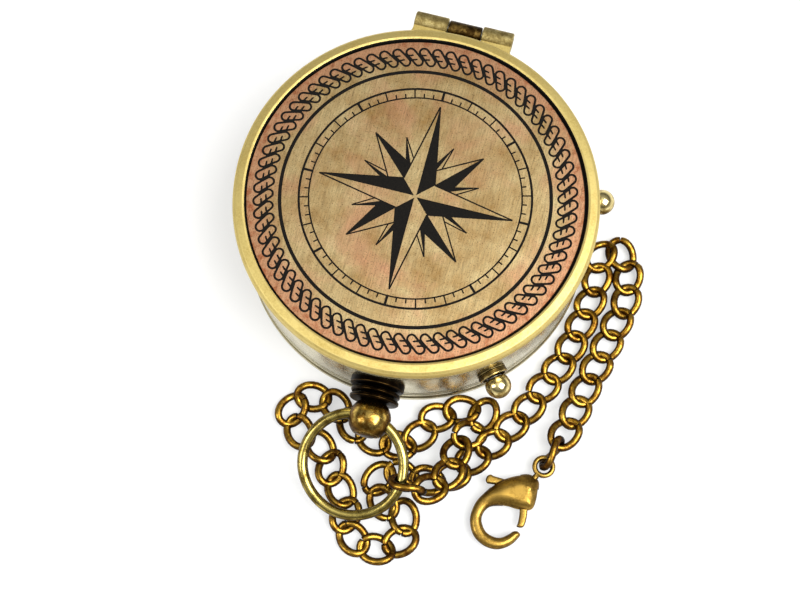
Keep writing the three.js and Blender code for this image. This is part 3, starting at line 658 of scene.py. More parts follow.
@dataclass(frozen=True)
class Brass(Finish):
    """Brass with an antique wash.

    The casting or turned part is dipped in a dark patina and then rubbed back by hand, so edges are bright and
    hollows stay brown. Faces that point up also get a painted highlight, and flanks a painted shade. Fine
    hairlines from the cloth run over the bright metal.
    """

    bright: str
    body: str
    dark: str
    patina: float
    roughness: float
    blotch: float = 3.0
    grain: float = 0.25
    lines: float = 0.0
    hairlines: float = 0.35
    stretch: Point3 = (1.0, 1.0, 1.0)
    specks: float = 0.5
    mottle: float = 1.6
    crown: float = 0.0
    edge_gain: float = 0.75
    mark_loss: float = 3.0
    hollow_loss: float = 1.3
    washed_dull: float = 0.26
    most_dull: float = 0.9
    hair_dull: float = 0.16
    line_height: float = 2.2
    relief: float = 0.012

    def build(self, add: Adder, place: bpy.types.NodeSocket) -> bpy.types.Node:
        """Builds patina blotches, rubbed edges, dark hollows, a painted highlight and painted shade by facing,
        hairlines and a cast or turned grain.

        Args:
            add: adds a node to the material.
            place: the point's place on the object.

        Returns:
            The shader.
        """
        names = ("wear", "hollow", "mark")
        wear, hollow, mark = (add("Attribute", attribute_name=name).outputs["Fac"] for name in names)
        blotch, speck, grain = (
            add("TexNoise", {"Vector": place, "Scale": per(size), "Detail": detail, "Roughness": rough})
            for size, detail, rough in ((self.blotch, 5.0, 0.62), (0.35, 3.0, 0.7), (self.grain, 4.0, 0.6))
        )
        turned = add("Mapping", {"Vector": place, "Scale": self.stretch, "Rotation": (0.35, 0.5, 0.9)})
        own = {"Scale": per(0.5), "Detail": 6.0, "Roughness": 0.75, "Distortion": 0.6}
        hair = add("TexNoise", {"Vector": turned, **own})
        # How rubbed the metal is here: blotches and specks, lifted on the edges and held down in the hollows.
        # Faces that point up are painted lighter and flanks darker: a painted highlight and painted shade, set
        # by the way a face points.
        facing = add("SeparateXYZ", {"Vector": add("TexCoord").outputs["Normal"]}).outputs["Z"]
        start = -self.mottle / 2 + (0.5 - self.patina) * 1.6 + 0.5
        rubbed = add("Math", {0: blotch, 1: self.mottle, 2: start}, operation="MULTIPLY_ADD")
        # Points marked for a filling, the lid's groove, darken the brass beside them: partly blacking, partly
        # painted shade.
        worn = ((speck, self.specks), (wear, self.edge_gain), (mark, -self.mark_loss))
        for source, weight in (*worn, (hollow, -self.hollow_loss), (facing, self.crown)):
            rubbed = add("Math", {0: source, 1: weight, 2: rubbed}, operation="MULTIPLY_ADD")
        held = self.specks / 2 + 0.7 * self.crown
        rubbed = add("Math", {0: rubbed, 1: held}, operation="SUBTRACT", use_clamp=True)
        colour = add("ValToRGB", {"Fac": rubbed}, [(0.0, self.dark), (0.5, self.body), (0.9, self.bright)])
        dull = min(self.most_dull, self.roughness + self.washed_dull)
        rough = add("MapRange", {"Value": rubbed, "To Min": dull, "To Max": self.roughness})
        rough = add("Math", {0: hair, 1: self.hair_dull * self.hairlines, 2: rough}, operation="MULTIPLY_ADD")
        height = add("Math", {0: hair, 1: self.hairlines, 2: grain}, operation="MULTIPLY_ADD")
        if self.lines:
            # Turned lines: rings left by the lathe tool, one each self.lines of height or radius.
            z = add("SeparateXYZ", {"Vector": place}).outputs["Z"]
            way = add("Math", {0: z, 1: self.radius(add, place)}, operation="ADD")
            own = {"W": way, "Scale": per(self.lines), "Detail": 3.0, "Roughness": 0.8}
            turn = add("TexNoise", own, noise_dimensions="1D")
            height = add("Math", {0: turn, 1: self.line_height, 2: height}, operation="MULTIPLY_ADD")
        bump = add("Bump", {"Height": height, "Strength": 0.35, "Distance": self.relief * MM})
        own = {"Base Color": colour, "Metallic": 1.0, "Roughness": rough, "Normal": bump}
        return add("BsdfPrincipled", own)


@dataclass(frozen=True)
class EtchedBrass(Finish):
    """Sheet brass, brushed by hand, with an etched design.

    The sheet has a pale, satin, straight brushed surface in crossing strokes. Heat and lacquer have left copper
    pink clouds and small orange spots towards the edge.
    """

    ground: str = "AC8650"
    warm: str = "D49C76"
    light: str = "DEC792"
    spot: str = "AC5B34"
    pit: str = "5A4022"
    edge: float = 27.3

    def build(self, add: Adder, place: bpy.types.NodeSocket) -> bpy.types.Node:
        """Builds the clouds, the spots near the edge, the pits and the brushed scratches.

        Args:
            add: adds a node to the material.
            place: the point's place on the object.

        Returns:
            The shader.
        """
        # The pits that the etching bath left are about 0.2 mm across and stained brown.
        sizes = ((11, 5.0, 0.6, 0.4), (6, 6.0, 0.66, 0), (1.3, 4.0, 0.7, 0), (0.22, 2.0, 0.6, 0))
        cloud, pale, spots, pits = (
            add("TexNoise", {"Vector": place, "Scale": per(size), "Detail": d, "Roughness": r, "Distortion": w})
            for size, d, r, w in sizes
        )
        edge_m = self.edge * MM
        rim = {"Value": self.radius(add, place), "From Min": 0.83 * edge_m, "From Max": edge_m}
        near = add("MapRange", rim)
        pink = add("Math", {0: near, 1: 0.36, 2: cloud}, operation="MULTIPLY_ADD")
        orange = add("Math", {0: near, 1: 0.3, 2: spots}, operation="MULTIPLY_ADD")
        colour = add("ValToRGB", {"Fac": pale}, [(0.3, self.ground), (0.7, self.light)])
        stains = (
            (pink, 0.48, 0.72, 0.85, self.warm),
            (orange, 0.76, 0.94, 0.75, self.spot),
            (pits, 0.57, 0.68, 0.75, self.pit),
        )
        for source, low, high, most, stain in stains:
            share = add("MapRange", {"Value": source, "From Min": low, "From Max": high, "To Max": most})
            colour = add("Mix", {0: share, 6: colour, 7: srgb(stain)}, data_type="RGBA")
        # Crossing strokes of emery cloth. The real ones are 0.05 mm wide; drawn 0.3 mm wide, to be seen.
        strokes = []
        for angle in (0.35, 1.9, 2.7):
            turned = {"Vector": place, "Rotation": (0.0, 0.0, angle), "Scale": (1.0, 0.09, 1.0)}
            own = {"Vector": add("Mapping", turned), "Scale": per(0.3), "Detail": 4.0, "Roughness": 0.75}
            strokes.append(add("TexNoise", own))
        brushed = add("Math", {0: strokes[0], 1: strokes[1]}, operation="ADD")
        brushed = add("Math", {0: brushed, 1: strokes[2]}, operation="ADD")
        spread = {"Value": brushed, "From Min": 1.1, "From Max": 1.9}
        shade = add("MapRange", {**spread, "To Min": 0.58, "To Max": 1.3})
        colour = add("VectorMath", {0: colour, "Scale": shade}, operation="SCALE")
        rough = add("MapRange", {**spread, "To Min": 0.44, "To Max": 0.28})
        bump = add("Bump", {"Height": brushed, "Strength": 0.5, "Distance": 0.012 * MM})
        own = {"Base Color": colour, "Metallic": 1.0, "Roughness": rough, "Normal": bump}
        return add("BsdfPrincipled", own)


@dataclass(frozen=True)
class BlackFilling(Finish):
    """Lacquer wiped into an etched line or into the lid's groove, where it is partly painted shade, or
    printer's ink on
    card: a dead black with a dusty, matt skin.
    """

    colour: str = "0A0806"
    dust: str = "1C1812"

    def build(self, add: Adder, place: bpy.types.NodeSocket) -> bpy.types.Node:
        """Builds a skin whose dust lies in 0.15 mm grains.

        Args:
            add: adds a node to the material.
            place: the point's place on the object.

        Returns:
            The shader.
        """
        grain = add("TexNoise", {"Vector": place, "Scale": per(0.15), "Detail": 3.0})
        colour = add("ValToRGB", {"Fac": grain}, [(0.45, self.colour), (0.75, self.dust)])
        return self.skin(add, colour, grain, (0.2, 0.6), (0.3, 0.02), Specular_IOR_Level=0.12)


@dataclass(frozen=True)
class Steel(Finish):
    """Drawn and ground steel, plain or tempered blue; fine grinding lines and a little oil staining."""

    colour: str = "A9A9A4"
    stain: str = "6E6C66"
    roughness: float = 0.3

    def build(self, add: Adder, place: bpy.types.NodeSocket) -> bpy.types.Node:
        """Builds grinding lines 0.1 mm apart over soft stains.

        Args:
            add: adds a node to the material.
            place: the point's place on the object.

        Returns:
            The shader.
        """
        stain = add("TexNoise", {"Vector": place, "Scale": per(2), "Detail": 4.0})
        colour = add("ValToRGB", {"Fac": stain}, [(0.35, self.stain), (0.6, self.colour)])
        turned = add("Mapping", {"Vector": place, "Scale": (1.0, 0.08, 1.0)})
        ground = add("TexNoise", {"Vector": turned, "Scale": per(0.1), "Detail": 2.0})
        return self.skin(add, colour, ground, (0.15, self.roughness - 0.07), (0.2, 0.005), Metallic=1.0)


@dataclass(frozen=True)
class PrintedCard(Finish):
    """Varnished card with a letterpress print: warm white pulp, a soft varnish gloss and black ink."""

    card: str = "E9E1CB"
    foxed: str = "D6C8A4"

    def build(self, add: Adder, place: bpy.types.NodeSocket) -> bpy.types.Node:
        """Builds foxed card whose fibres are 0.2 mm.

        Args:
            add: adds a node to the material.
            place: the point's place on the object.

        Returns:
            The shader.
        """
        foxing = add("TexNoise", {"Vector": place, "Scale": per(7), "Detail": 6.0, "Roughness": 0.65})
        colour = add("ValToRGB", {"Fac": foxing}, [(0.35, self.card), (0.75, self.foxed)])
        fibre = add("TexNoise", {"Vector": place, "Scale": per(0.2), "Detail": 2.0})
        return self.skin(add, colour, fibre, (0.2, 0.35), (0.15, 0.01), IOR=1.5)


@dataclass(frozen=True)
class WindowGlass(Finish):
    """Cut and ground window glass: clear, with a faint grease film that only its gloss shows."""

    tint: str = "F7FBF9"

    def build(self, add: Adder, place: bpy.types.NodeSocket) -> bpy.types.Node:
        """Builds clear soda glass, index 1.52, whose film is 4 mm blotches of a little roughness.

        Args:
            add: adds a node to the material.
            place: the point's place on the object.

        Returns:
            The shader.
        """
        film = add("TexNoise", {"Vector": place, "Scale": per(4), "Detail": 5.0})
        rough = add("MapRange", {"Value": film, "From Min": 0.4, "From Max": 0.8, "To Max": 0.05})
        own = {"Base Color": srgb(self.tint), "Roughness": rough, "IOR": 1.52, "Transmission Weight": 1.0}
        return add("BsdfPrincipled", own)


@dataclass(frozen=True)
class Paper(Finish):
    """Matt white seamless paper under the object: cotton pulp, rolled, with a faint tooth."""

    colour: str = "F7F7F5"
    glow: float = 0.5

    def build(self, add: Adder, place: bpy.types.NodeSocket) -> bpy.types.Node:
        """Builds a matt sheet whose tooth is 0.4 mm, too fine to read and only there to soften it.

        Args:
            add: adds a node to the material.
            place: the point's place on the object.

        Returns:
            The shader.
        """
        tooth = add("TexNoise", {"Vector": place, "Scale": per(0.4), "Detail": 2.0})
        bump = add("Bump", {"Height": tooth, "Strength": 0.08, "Distance": 0.02 * MM})
        own = {"Roughness": 0.9, "Specular IOR Level": 0.1, "Normal": bump}
        sheet = add("BsdfPrincipled", {"Base Color": srgb(self.colour), **own})
        # The sheet glows as on a light table. The eye, reflections and the glass see it; it lights nothing.
        path = add("LightPath").outputs
        seen = add("Math", {0: path["Is Camera Ray"], 1: path["Is Glossy Ray"]}, operation="ADD")
        through = {0: seen, 1: path["Is Transmission Ray"]}
        seen = add("Math", through, operation="ADD", use_clamp=True)
        share = add("Math", {0: seen, 1: self.glow}, operation="MULTIPLY")
        light = add("Emission", {"Color": srgb("FFFFFF"), "Strength": 1.0})
        return add("MixShader", {0: share, 1: sheet, 2: light})


class Finishes:
    """The finishes of this object, by name."""

    # The crown weight paints a highlight on faces that point up and painted shade on the flanks of wires, balls
    # and castings.
    polished = Brass(
        "polished_rim_brass", "polished_brass", "D5C17A", "B99F56", "5E4A20", 0.3, 0.4,
        blotch=5.0, grain=0.3, hairlines=1.6, specks=0.7, mottle=0.8,
    )
    aged = Brass(
        "aged_turned_brass", "aged_brass", "D2C9A6", "AFA47E", "645A38", 0.36, 0.15, lines=0.16, mottle=0.7
    )
    bow = Brass(
        "rubbed_bow_brass_with_painted_shade", "bow_brass", "C6B262", "6C5A26", "1E1304", 0.44, 0.14, blotch=2.0, crown=0.75
    )
    # The pendant collar's near-black is partly a dark wash and partly a painted dark reflection of its
    # surroundings.
    bronze = Brass("dark_bronze_with_painted_reflection", "dark_bronze", "3E2C14", "0C0703", "040201", 0.64, 0.22, blotch=1.6)
    # The strap's knuckle sits between the lid's knuckles; its dark brown is partly a wash and partly painted
    # shade of that gap.
    strap = Brass(
        "dark_strap_bronze_with_painted_shade", "dark_bronze", "8E723A", "3A2910", "100903", 0.52, 0.26, blotch=1.2, crown=0.4
    )
    knuckle = Brass(
        "brushed_hinge_brass", "polished_brass", "B8A872", "8B7A4A", "42341A", 0.46, 0.36,
        blotch=1.2, hairlines=1.3, stretch=(0.08, 1.0, 1.0), specks=0.8,
    )
    ball = Brass(
        "worn_ball_brass_with_painted_shade", "bow_brass", "D8B860", "6E4F1C", "1C1003", 0.48, 0.1,
        blotch=1.6, grain=0.4, stretch=(1.0, 1.0, 5.0), hairlines=0.5, crown=0.7,
    )
    stud = Brass(
        "rubbed_stud_brass_with_painted_shade", "polished_brass", "E4D294", "9A8248", "1C1204", 0.34, 0.11, blotch=1.2, crown=0.6
    )
    collar = Brass("stained_collar_brass", "aged_brass", "C6B074", "5E4C26", "120B04", 0.56, 0.22, blotch=1.2)
    chain = Brass(
        "antique_chain_bronze_with_painted_shade", "chain_bronze", "B08A34", "664113", "140801", 0.52, 0.23, blotch=1.2, crown=1.15
    )
    clasp = Brass(
        "antique_cast_clasp_bronze_with_painted_shade", "chain_bronze", "AA883F", "735722", "180D02", 0.4, 0.3,
        blotch=2.2, grain=0.3, crown=0.8, specks=0.8,
    )
    etched = EtchedBrass("etched_sheet_brass", "engraved_plate")
    filling = BlackFilling("black_line_filling", "engraved_plate")
    ink = BlackFilling("black_printing_ink", "dial_card", "1B1915", "2B2822")
    red_ink = BlackFilling("red_printing_ink", "dial_card", "8E1F16", "A23A2C")
    steel = Steel("ground_spring_steel", "spring_steel")
    blued = Steel("tempered_blue_steel", "blued_steel", "2B3F6B", "1A2440", 0.24)
    silvered = Steel("silvered_needle_steel", "blued_steel", "C9C8C2", "9B9A93", 0.28)
    card = PrintedCard("varnished_dial_card", "dial_card")
    glass = WindowGlass("ground_window_glass", "glass")
    paper = Paper("matt_white_paper", "")


# The studio.


@dataclass
class Studio:
    """Camera, soft light and a plain pale floor."""

    camera_m: Point3 = (0.02053, -0.07582, 0.23391)
    turn: Point3 = (15.9334, 0.7277, 15.0518)
    lens: float = 63.0
    floor_half: float = 3000.0
    floor_drop: float = 0.02
    tent: tuple[Point2, ...] = (
        (0.0, 0.88), (0.14, 0.82), (0.24, 0.3), (0.42, 0.1), (0.62, 0.3), (0.84, 0.4), (0.94, 0.74), (1.0, 1.25)
    )

    def camera(self) -> None:
        """Puts the camera at the photograph's place and angle."""
        data = bpy.data.cameras.new("camera")
        data.lens, data.sensor_width, data.clip_start, data.clip_end = self.lens, 36.0, 0.01, 20.0
        camera = bpy.data.objects.new("camera", data)
        camera.location = self.camera_m
        camera.rotation_euler = [math.radians(a) for a in self.turn]
        bpy.context.scene.collection.objects.link(camera)
        bpy.context.scene.camera = camera

    def lamp(self, name: str, place: Point3, target: Point3, size: Point2, power: float) -> None:
        """Adds a soft white area lamp.

        Args:
            name: its name.
            place: where it stands, in metres.
            target: what it points at, in metres.
            size: its width and height, in metres.
            power: its strength in watts.
        """
        data = bpy.data.lights.new(name, "AREA")
        data.shape, data.size, data.size_y, data.energy = "RECTANGLE", size[0], size[1], power
        lamp = bpy.data.objects.new(name, data)
        lamp.location = place
        lamp.rotation_mode = "QUATERNION"
        lamp.rotation_quaternion = (Vector(target) - Vector(place)).to_track_quat("-Z", "Y")
        bpy.context.scene.collection.objects.link(lamp)

    def sky(self) -> None:
        """A tent of white cloth: bright overhead, darker below and a pale wall all round, for the metal."""
        world = bpy.data.worlds.new("light_tent")
        world.use_nodes = True
        world.node_tree.nodes.clear()
        add = partial(add_node, world.node_tree)
        height = add("SeparateXYZ", {"Vector": add("TexCoord").outputs["Generated"]}).outputs["Z"]
        shade = add("ValToRGB", {"Fac": height}, self.tent)
        add("OutputWorld", {"Surface": add("Background", {"Color": shade, "Strength": 1.0})})
        bpy.context.scene.world = world

    def floor(self) -> None:
        """A flat sheet of paper under the object."""
        half, low = self.floor_half, -self.floor_drop
        corners = [(-half, -half, low), (half, -half, low), (half, half, low), (-half, half, low)]
        data = Shape().add(corners, [(0, 1, 2, 3)]).mesh("floor_sheet", 0)
        sheet = bpy.data.objects.new("floor_sheet", data)
        sheet.data.materials.append(Finishes.paper.material())
        bpy.context.scene.collection.objects.link(sheet)

    def build(self) -> None:
        """Sets the view up: camera first, then light and floor."""
        bpy.context.scene.view_settings.view_transform = "Standard"
        self.camera()
        self.sky()
        self.lamp("window_right", (0.42, -0.1, 0.7), (0, 0, 0), (0.6, 0.6), 9.0)
        self.lamp("fill_left", (-0.45, -0.3, 0.5), (0, -0.02, 0), (0.3, 0.4), 1.8)
        self.floor()
        log.info("studio: camera, two soft lamps, light tent and floor")


# The chain.


@dataclass
class Chain:
    """The curb chain: interlinked figure links of round wire, each soldered flat or left with a twist.

    The route is the chain's middle from the bow ring to the clasp's eye; a point with no height lies on the
    ground.
    """

    length: float = 6.75
    width: float = 5.35
    wire: float = 1.28
    pitch: float = 4.3
    lift: float = 0.42
    skew: float = -15.0
    skew_sway: float = 4.0
    roll_sway: float = 6.5
    cut: float = 0.16
    cut_at: float = 158.0
    snip: float = 0.12
    snip_share: float = 0.02
    lying: float = 1.1
    bow_links: int = 3
    route: tuple[tuple[float, ...], ...] = (
        (13.8, -43.3, 5.7), (15.7, -40.9, 4.6), (16.6, -37.7, 3.7), (16.4, -34.3, 2.4), (18.5, -31),
        (19.2, -27.9), (16.8, -27.9), (13.8, -29.5), (11, -31.6), (9.9, -34.2), (8.6, -36.4), (6.2, -37.2),
        (3.7, -37.3), (1.1, -36.9), (-1.7, -35.7), (-4.1, -33.8), (-6.8, -32.8), (-9.6, -32.8),
        (-11.8, -34.4), (-12.1, -36.9), (-9.9, -39.1), (-6.3, -40.4), (-3.5, -42.3), (-2.7, -45.2),
        (-0.1, -47.2), (1.2, -49.8), (1.8, -52.6), (4.5, -54.3), (7.4, -54.7), (10.4, -53.4), (11.7, -50.5),
        (10.3, -47.9), (7.2, -47.2, 1.2), (5, -44.9, 1.6), (5.6, -42.5, 2.1), (8.2, -41.9, 2.2),
        (11.2, -41.9, 1.7), (14.3, -41, 1.2), (17.1, -39.2), (19.3, -36.3), (21.5, -33.4), (23.7, -29.9),
        (25.9, -26.2), (27.6, -21.9), (29.4, -17.9), (30.7, -13.6), (31.6, -8.9), (32.3, -4.3), (32.4, 0.4),
        (32.2, 4.4), (34.4, 5.9), (36.6, 4.1), (37.8, 0.4), (38.1, -3.9), (37.2, -8.3), (36.3, -13.1),
        (35.2, -18), (34.3, -22.6, 1.4), (33.2, -28.1, 2.25),
    )

    def samples(self, steps: int = 24) -> list[Vector]:
        """The route as a fine line: a centripetal Catmull-Rom curve through its points.

        Args:
            steps: how many steps it takes from one point to the next.

        Returns:
            The line's points.
        """
        points = [Vector((*p, self.lying)[:3]) for p in self.route]
        points = [points[0] * 2 - points[1], *points, points[-1] * 2 - points[-2]]
        mix = lambda s, p, q, u, v: p * ((v - s) / (v - u)) + q * ((s - u) / (v - u))
        line: list[Vector] = []
        for i in range(1, len(points) - 2):
            span = points[i - 1 : i + 3]
            t = [0.0]
            for p, q in zip(span, span[1:]):
                t.append(t[-1] + max(1e-4, (q - p).length) ** 0.5)
            for k in range(steps):
                s = t[1] + (t[2] - t[1]) * k / steps
                ab, bc, cd = (mix(s, span[j], span[j + 1], t[j], t[j + 1]) for j in range(3))
                abc, bcd = mix(s, ab, bc, t[0], t[2]), mix(s, bc, cd, t[1], t[3])
                line.append(mix(s, abc, bcd, t[1], t[2]))
        return [*line, points[-2]]

    def places(self) -> list[tuple[Vector, Vector]]:
        """Spaces the links evenly along the route.

        Returns:
            The centre and the direction of each link.
        """
        line = self.samples()
        run = [0.0]
        for a, b in zip(line, line[1:]):
            run.append(run[-1] + (b - a).length)
        count = round(run[-1] / self.pitch) + 1
        found = []
        k = 0
        for i in range(count):
            want = run[-1] * i / (count - 1)
            while k < len(run) - 2 and run[k + 1] < want:
                k += 1
            share = (want - run[k]) / (run[k + 1] - run[k])
            found.append((line[k].lerp(line[k + 1], share), (line[k + 1] - line[k]).normalized()))
        return found

    def link(self, shape: Shape, place: Matrix, lift: float, steps: int = 27) -> None:
        """Adds one link, whose wire ends meet in a cut.

        Args:
            shape: the mesh it goes into.
            place: its placement, x along the chain.
            lift: how far its wire rises and falls, which lets its neighbours through.
            steps: how many steps round the link.
        """
        a, b = (self.length - self.wire) / 2, (self.width - self.wire) / 2
        half = self.cut / (a + b)
        line = []
        for k in range(steps + 1):
            t = math.radians(self.cut_at) + half + (TAU - 2 * half) * k / steps
            line.append(place @ Vector((a * math.cos(t), b * math.sin(t), -lift * math.sin(2 * t))))
        # No link lies lower than the floor, and the snipped ends of its wire are a little thinner.
        rise = Vector((0, 0, max(0.0, self.wire / 2 - min(p.z for p in line))))
        ended = lambda t: max(0.0, abs(t - 0.5) * 2 - (1 - self.snip_share)) / self.snip_share
        snipped = lambda t: self.wire / 2 * (1 - self.snip * ended(t))
        shape.tube([p + rise for p in line], snipped, 12)

    def build(self) -> tuple[bpy.types.Object, bpy.types.Object, list[Vector]]:
        """Builds the stretch next to the bow ring and the chain that lies still.

        Returns:
            The bow's stretch, the chain, and the middles of the chain's links.
        """
        places = self.places()
        first, rest = Shape(), Shape()
        for i, (centre, along) in enumerate(places):
            roll = Matrix.Rotation(math.radians(self.roll_sway * math.sin(2.4 * i + 0.7)), 4, "X")
            skew = Matrix.Rotation(math.radians(self.skew + self.skew_sway * math.sin(1.7 * i)), 4, "Z")
            self.link(first if i < self.bow_links else rest, aim(centre, along, UP) @ roll @ skew, self.lift)
        near = make_wire("chain_near_bow", first, "", Finishes.chain, "chain_bow_stretch")
        start, end = places[0][0] * MM, places[self.bow_links][0] * MM
        tuple(start)
        tuple(end)
        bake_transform(near)
        stretches = (
            "right_loop", "under_pendant", "left_loop", "front_loop", "middle_run", "inner_strand", "turn",
            "outer_strand",
        )
        names = [f"chain_{stretch}" for stretch in stretches]
        chain = make_wire("chain_curb_links", rest, "case", Finishes.chain, *names)
        return near, chain, [p for p, _ in places[self.bow_links :]]


# Engraving.


def inside(points: np.ndarray, outline: Outline) -> np.ndarray:
    """Tells which points lie inside an outline.

    Args:
        points: an n x 2 array.
        outline: the outline.

    Returns:
        n booleans.
    """
    found = np.zeros(len(points), bool)
    x, y = points[:, 0], points[:, 1]
    for (ax, ay), (bx, by) in zip(outline, [*outline[1:], outline[0]]):
        if ay != by:
            found ^= ((ay > y) != (by > y)) & (x < (bx - ax) * (y - ay) / (by - ay) + ax)
    return found


def middles(spots: Sequence[Vector], faces: Sequence[Sequence[int]]) -> np.ndarray:
    """The middle of each face, as an n x 2 array."""
    return np.array([[sum(spots[i][k] for i in f) / len(f) for k in (0, 1)] for f in faces])


def band(line: Outline, width: float | Sequence[float], closed: bool = False) -> Groove:
    """A groove that follows a line.

    Args:
        line: its centre-line.
        width: its width, or one for each point.
        closed: whether the line is a loop.

    Returns:
        The groove's outlines, of which the second, if any, is its island.
    """
    left, right = [], []
    count = len(line)
    for i, p in enumerate(line):
        a = Vector(line[i - 1]) if closed or i else Vector(p)
        b = Vector(line[(i + 1) % count]) if closed or i < count - 1 else Vector(p)
        along = (b - a).normalized()
        half = (width[i] if hasattr(width, "__len__") else width) / 2
        left.append((p[0] - along.y * half, p[1] + along.x * half))
        right.append((p[0] + along.y * half, p[1] - along.x * half))
    return [left, right] if closed else [left + right[::-1]]


def engrave(
    shape: Shape,
    boundary: Outline,
    grooves: Sequence[Groove],
    top: float,
    depth: float,
    slope: float = 0.0,
    keep: Callable[[Vector], bool] | None = None,
) -> None:
    """Adds a flat face with a design sunk into it.

    Args:
        shape: the mesh it goes into.
        boundary: the face's outline.
        grooves: the design.
        top: the face's height.
        depth: how deep the design is.
        slope: how far the foot of a groove's wall stands in from its lip.
        keep: tells of a point whether its foot stays straight below it.
    """
    points: list[Vector] = []
    edges: list[tuple[int, int]] = []
    for outline in [boundary, *[o for g in grooves for o in g]]:
        base, count = len(points), len(outline)
        points += [Vector(p) for p in outline]
        edges += [(base + i, base + (i + 1) % count) for i in range(count)]
    spots, _, faces, _, _, _ = delaunay_2d_cdt(points, edges, [], 0, 1e-6)
    middle = middles(spots, faces)
    sunk = np.zeros(len(faces), bool)
    for groove in grooves:
        part = np.zeros(len(faces), bool)
        for outline in groove:
            part ^= inside(middle, outline)
        sunk |= part
    used = [(f, bool(s), m) for f, u, s, m in zip(faces, inside(middle, boundary), sunk, middle) if u]
    lips = {i for f, low, _ in used if not low for i in f}
    foot_pull: dict[int, Vector] = {}
    for f, low, m in used:
        for i in f if low else ():
            foot_pull[i] = foot_pull.get(i, Vector((0, 0))) + (Vector(m) - spots[i]).normalized()
    number: dict[tuple[int, bool], int] = {}
    made: list[Point3] = []
    marks: list[float] = []

    def corner(i: int, low: bool) -> int:
        """The number of a lip or foot point, made when first asked for."""
        if (i, low) not in number:
            number[i, low] = len(made)
            p = spots[i].copy()
            if low and slope and i in lips and not (keep and keep(p)) and foot_pull[i].length > 0.3:
                p += foot_pull[i].normalized() * slope
            made.append((p.x, p.y, top - depth if low else top))
            marks.append(1.0 if low else 0.0)
        return number[i, low]

    out: list[tuple[int, ...]] = []
    side: dict[tuple[int, int], bool] = {}
    for f, low, _ in used:
        out.append(tuple(corner(i, low) for i in f))
        side.update({edge: low for edge in zip(f, [*f[1:], f[0]])})
    for (a, b), low in side.items():
        if low and side.get((b, a)) is False:
            out.append((corner(b, False), corner(a, False), corner(a, True), corner(b, True)))
    shape.add(made, out, None, marks)


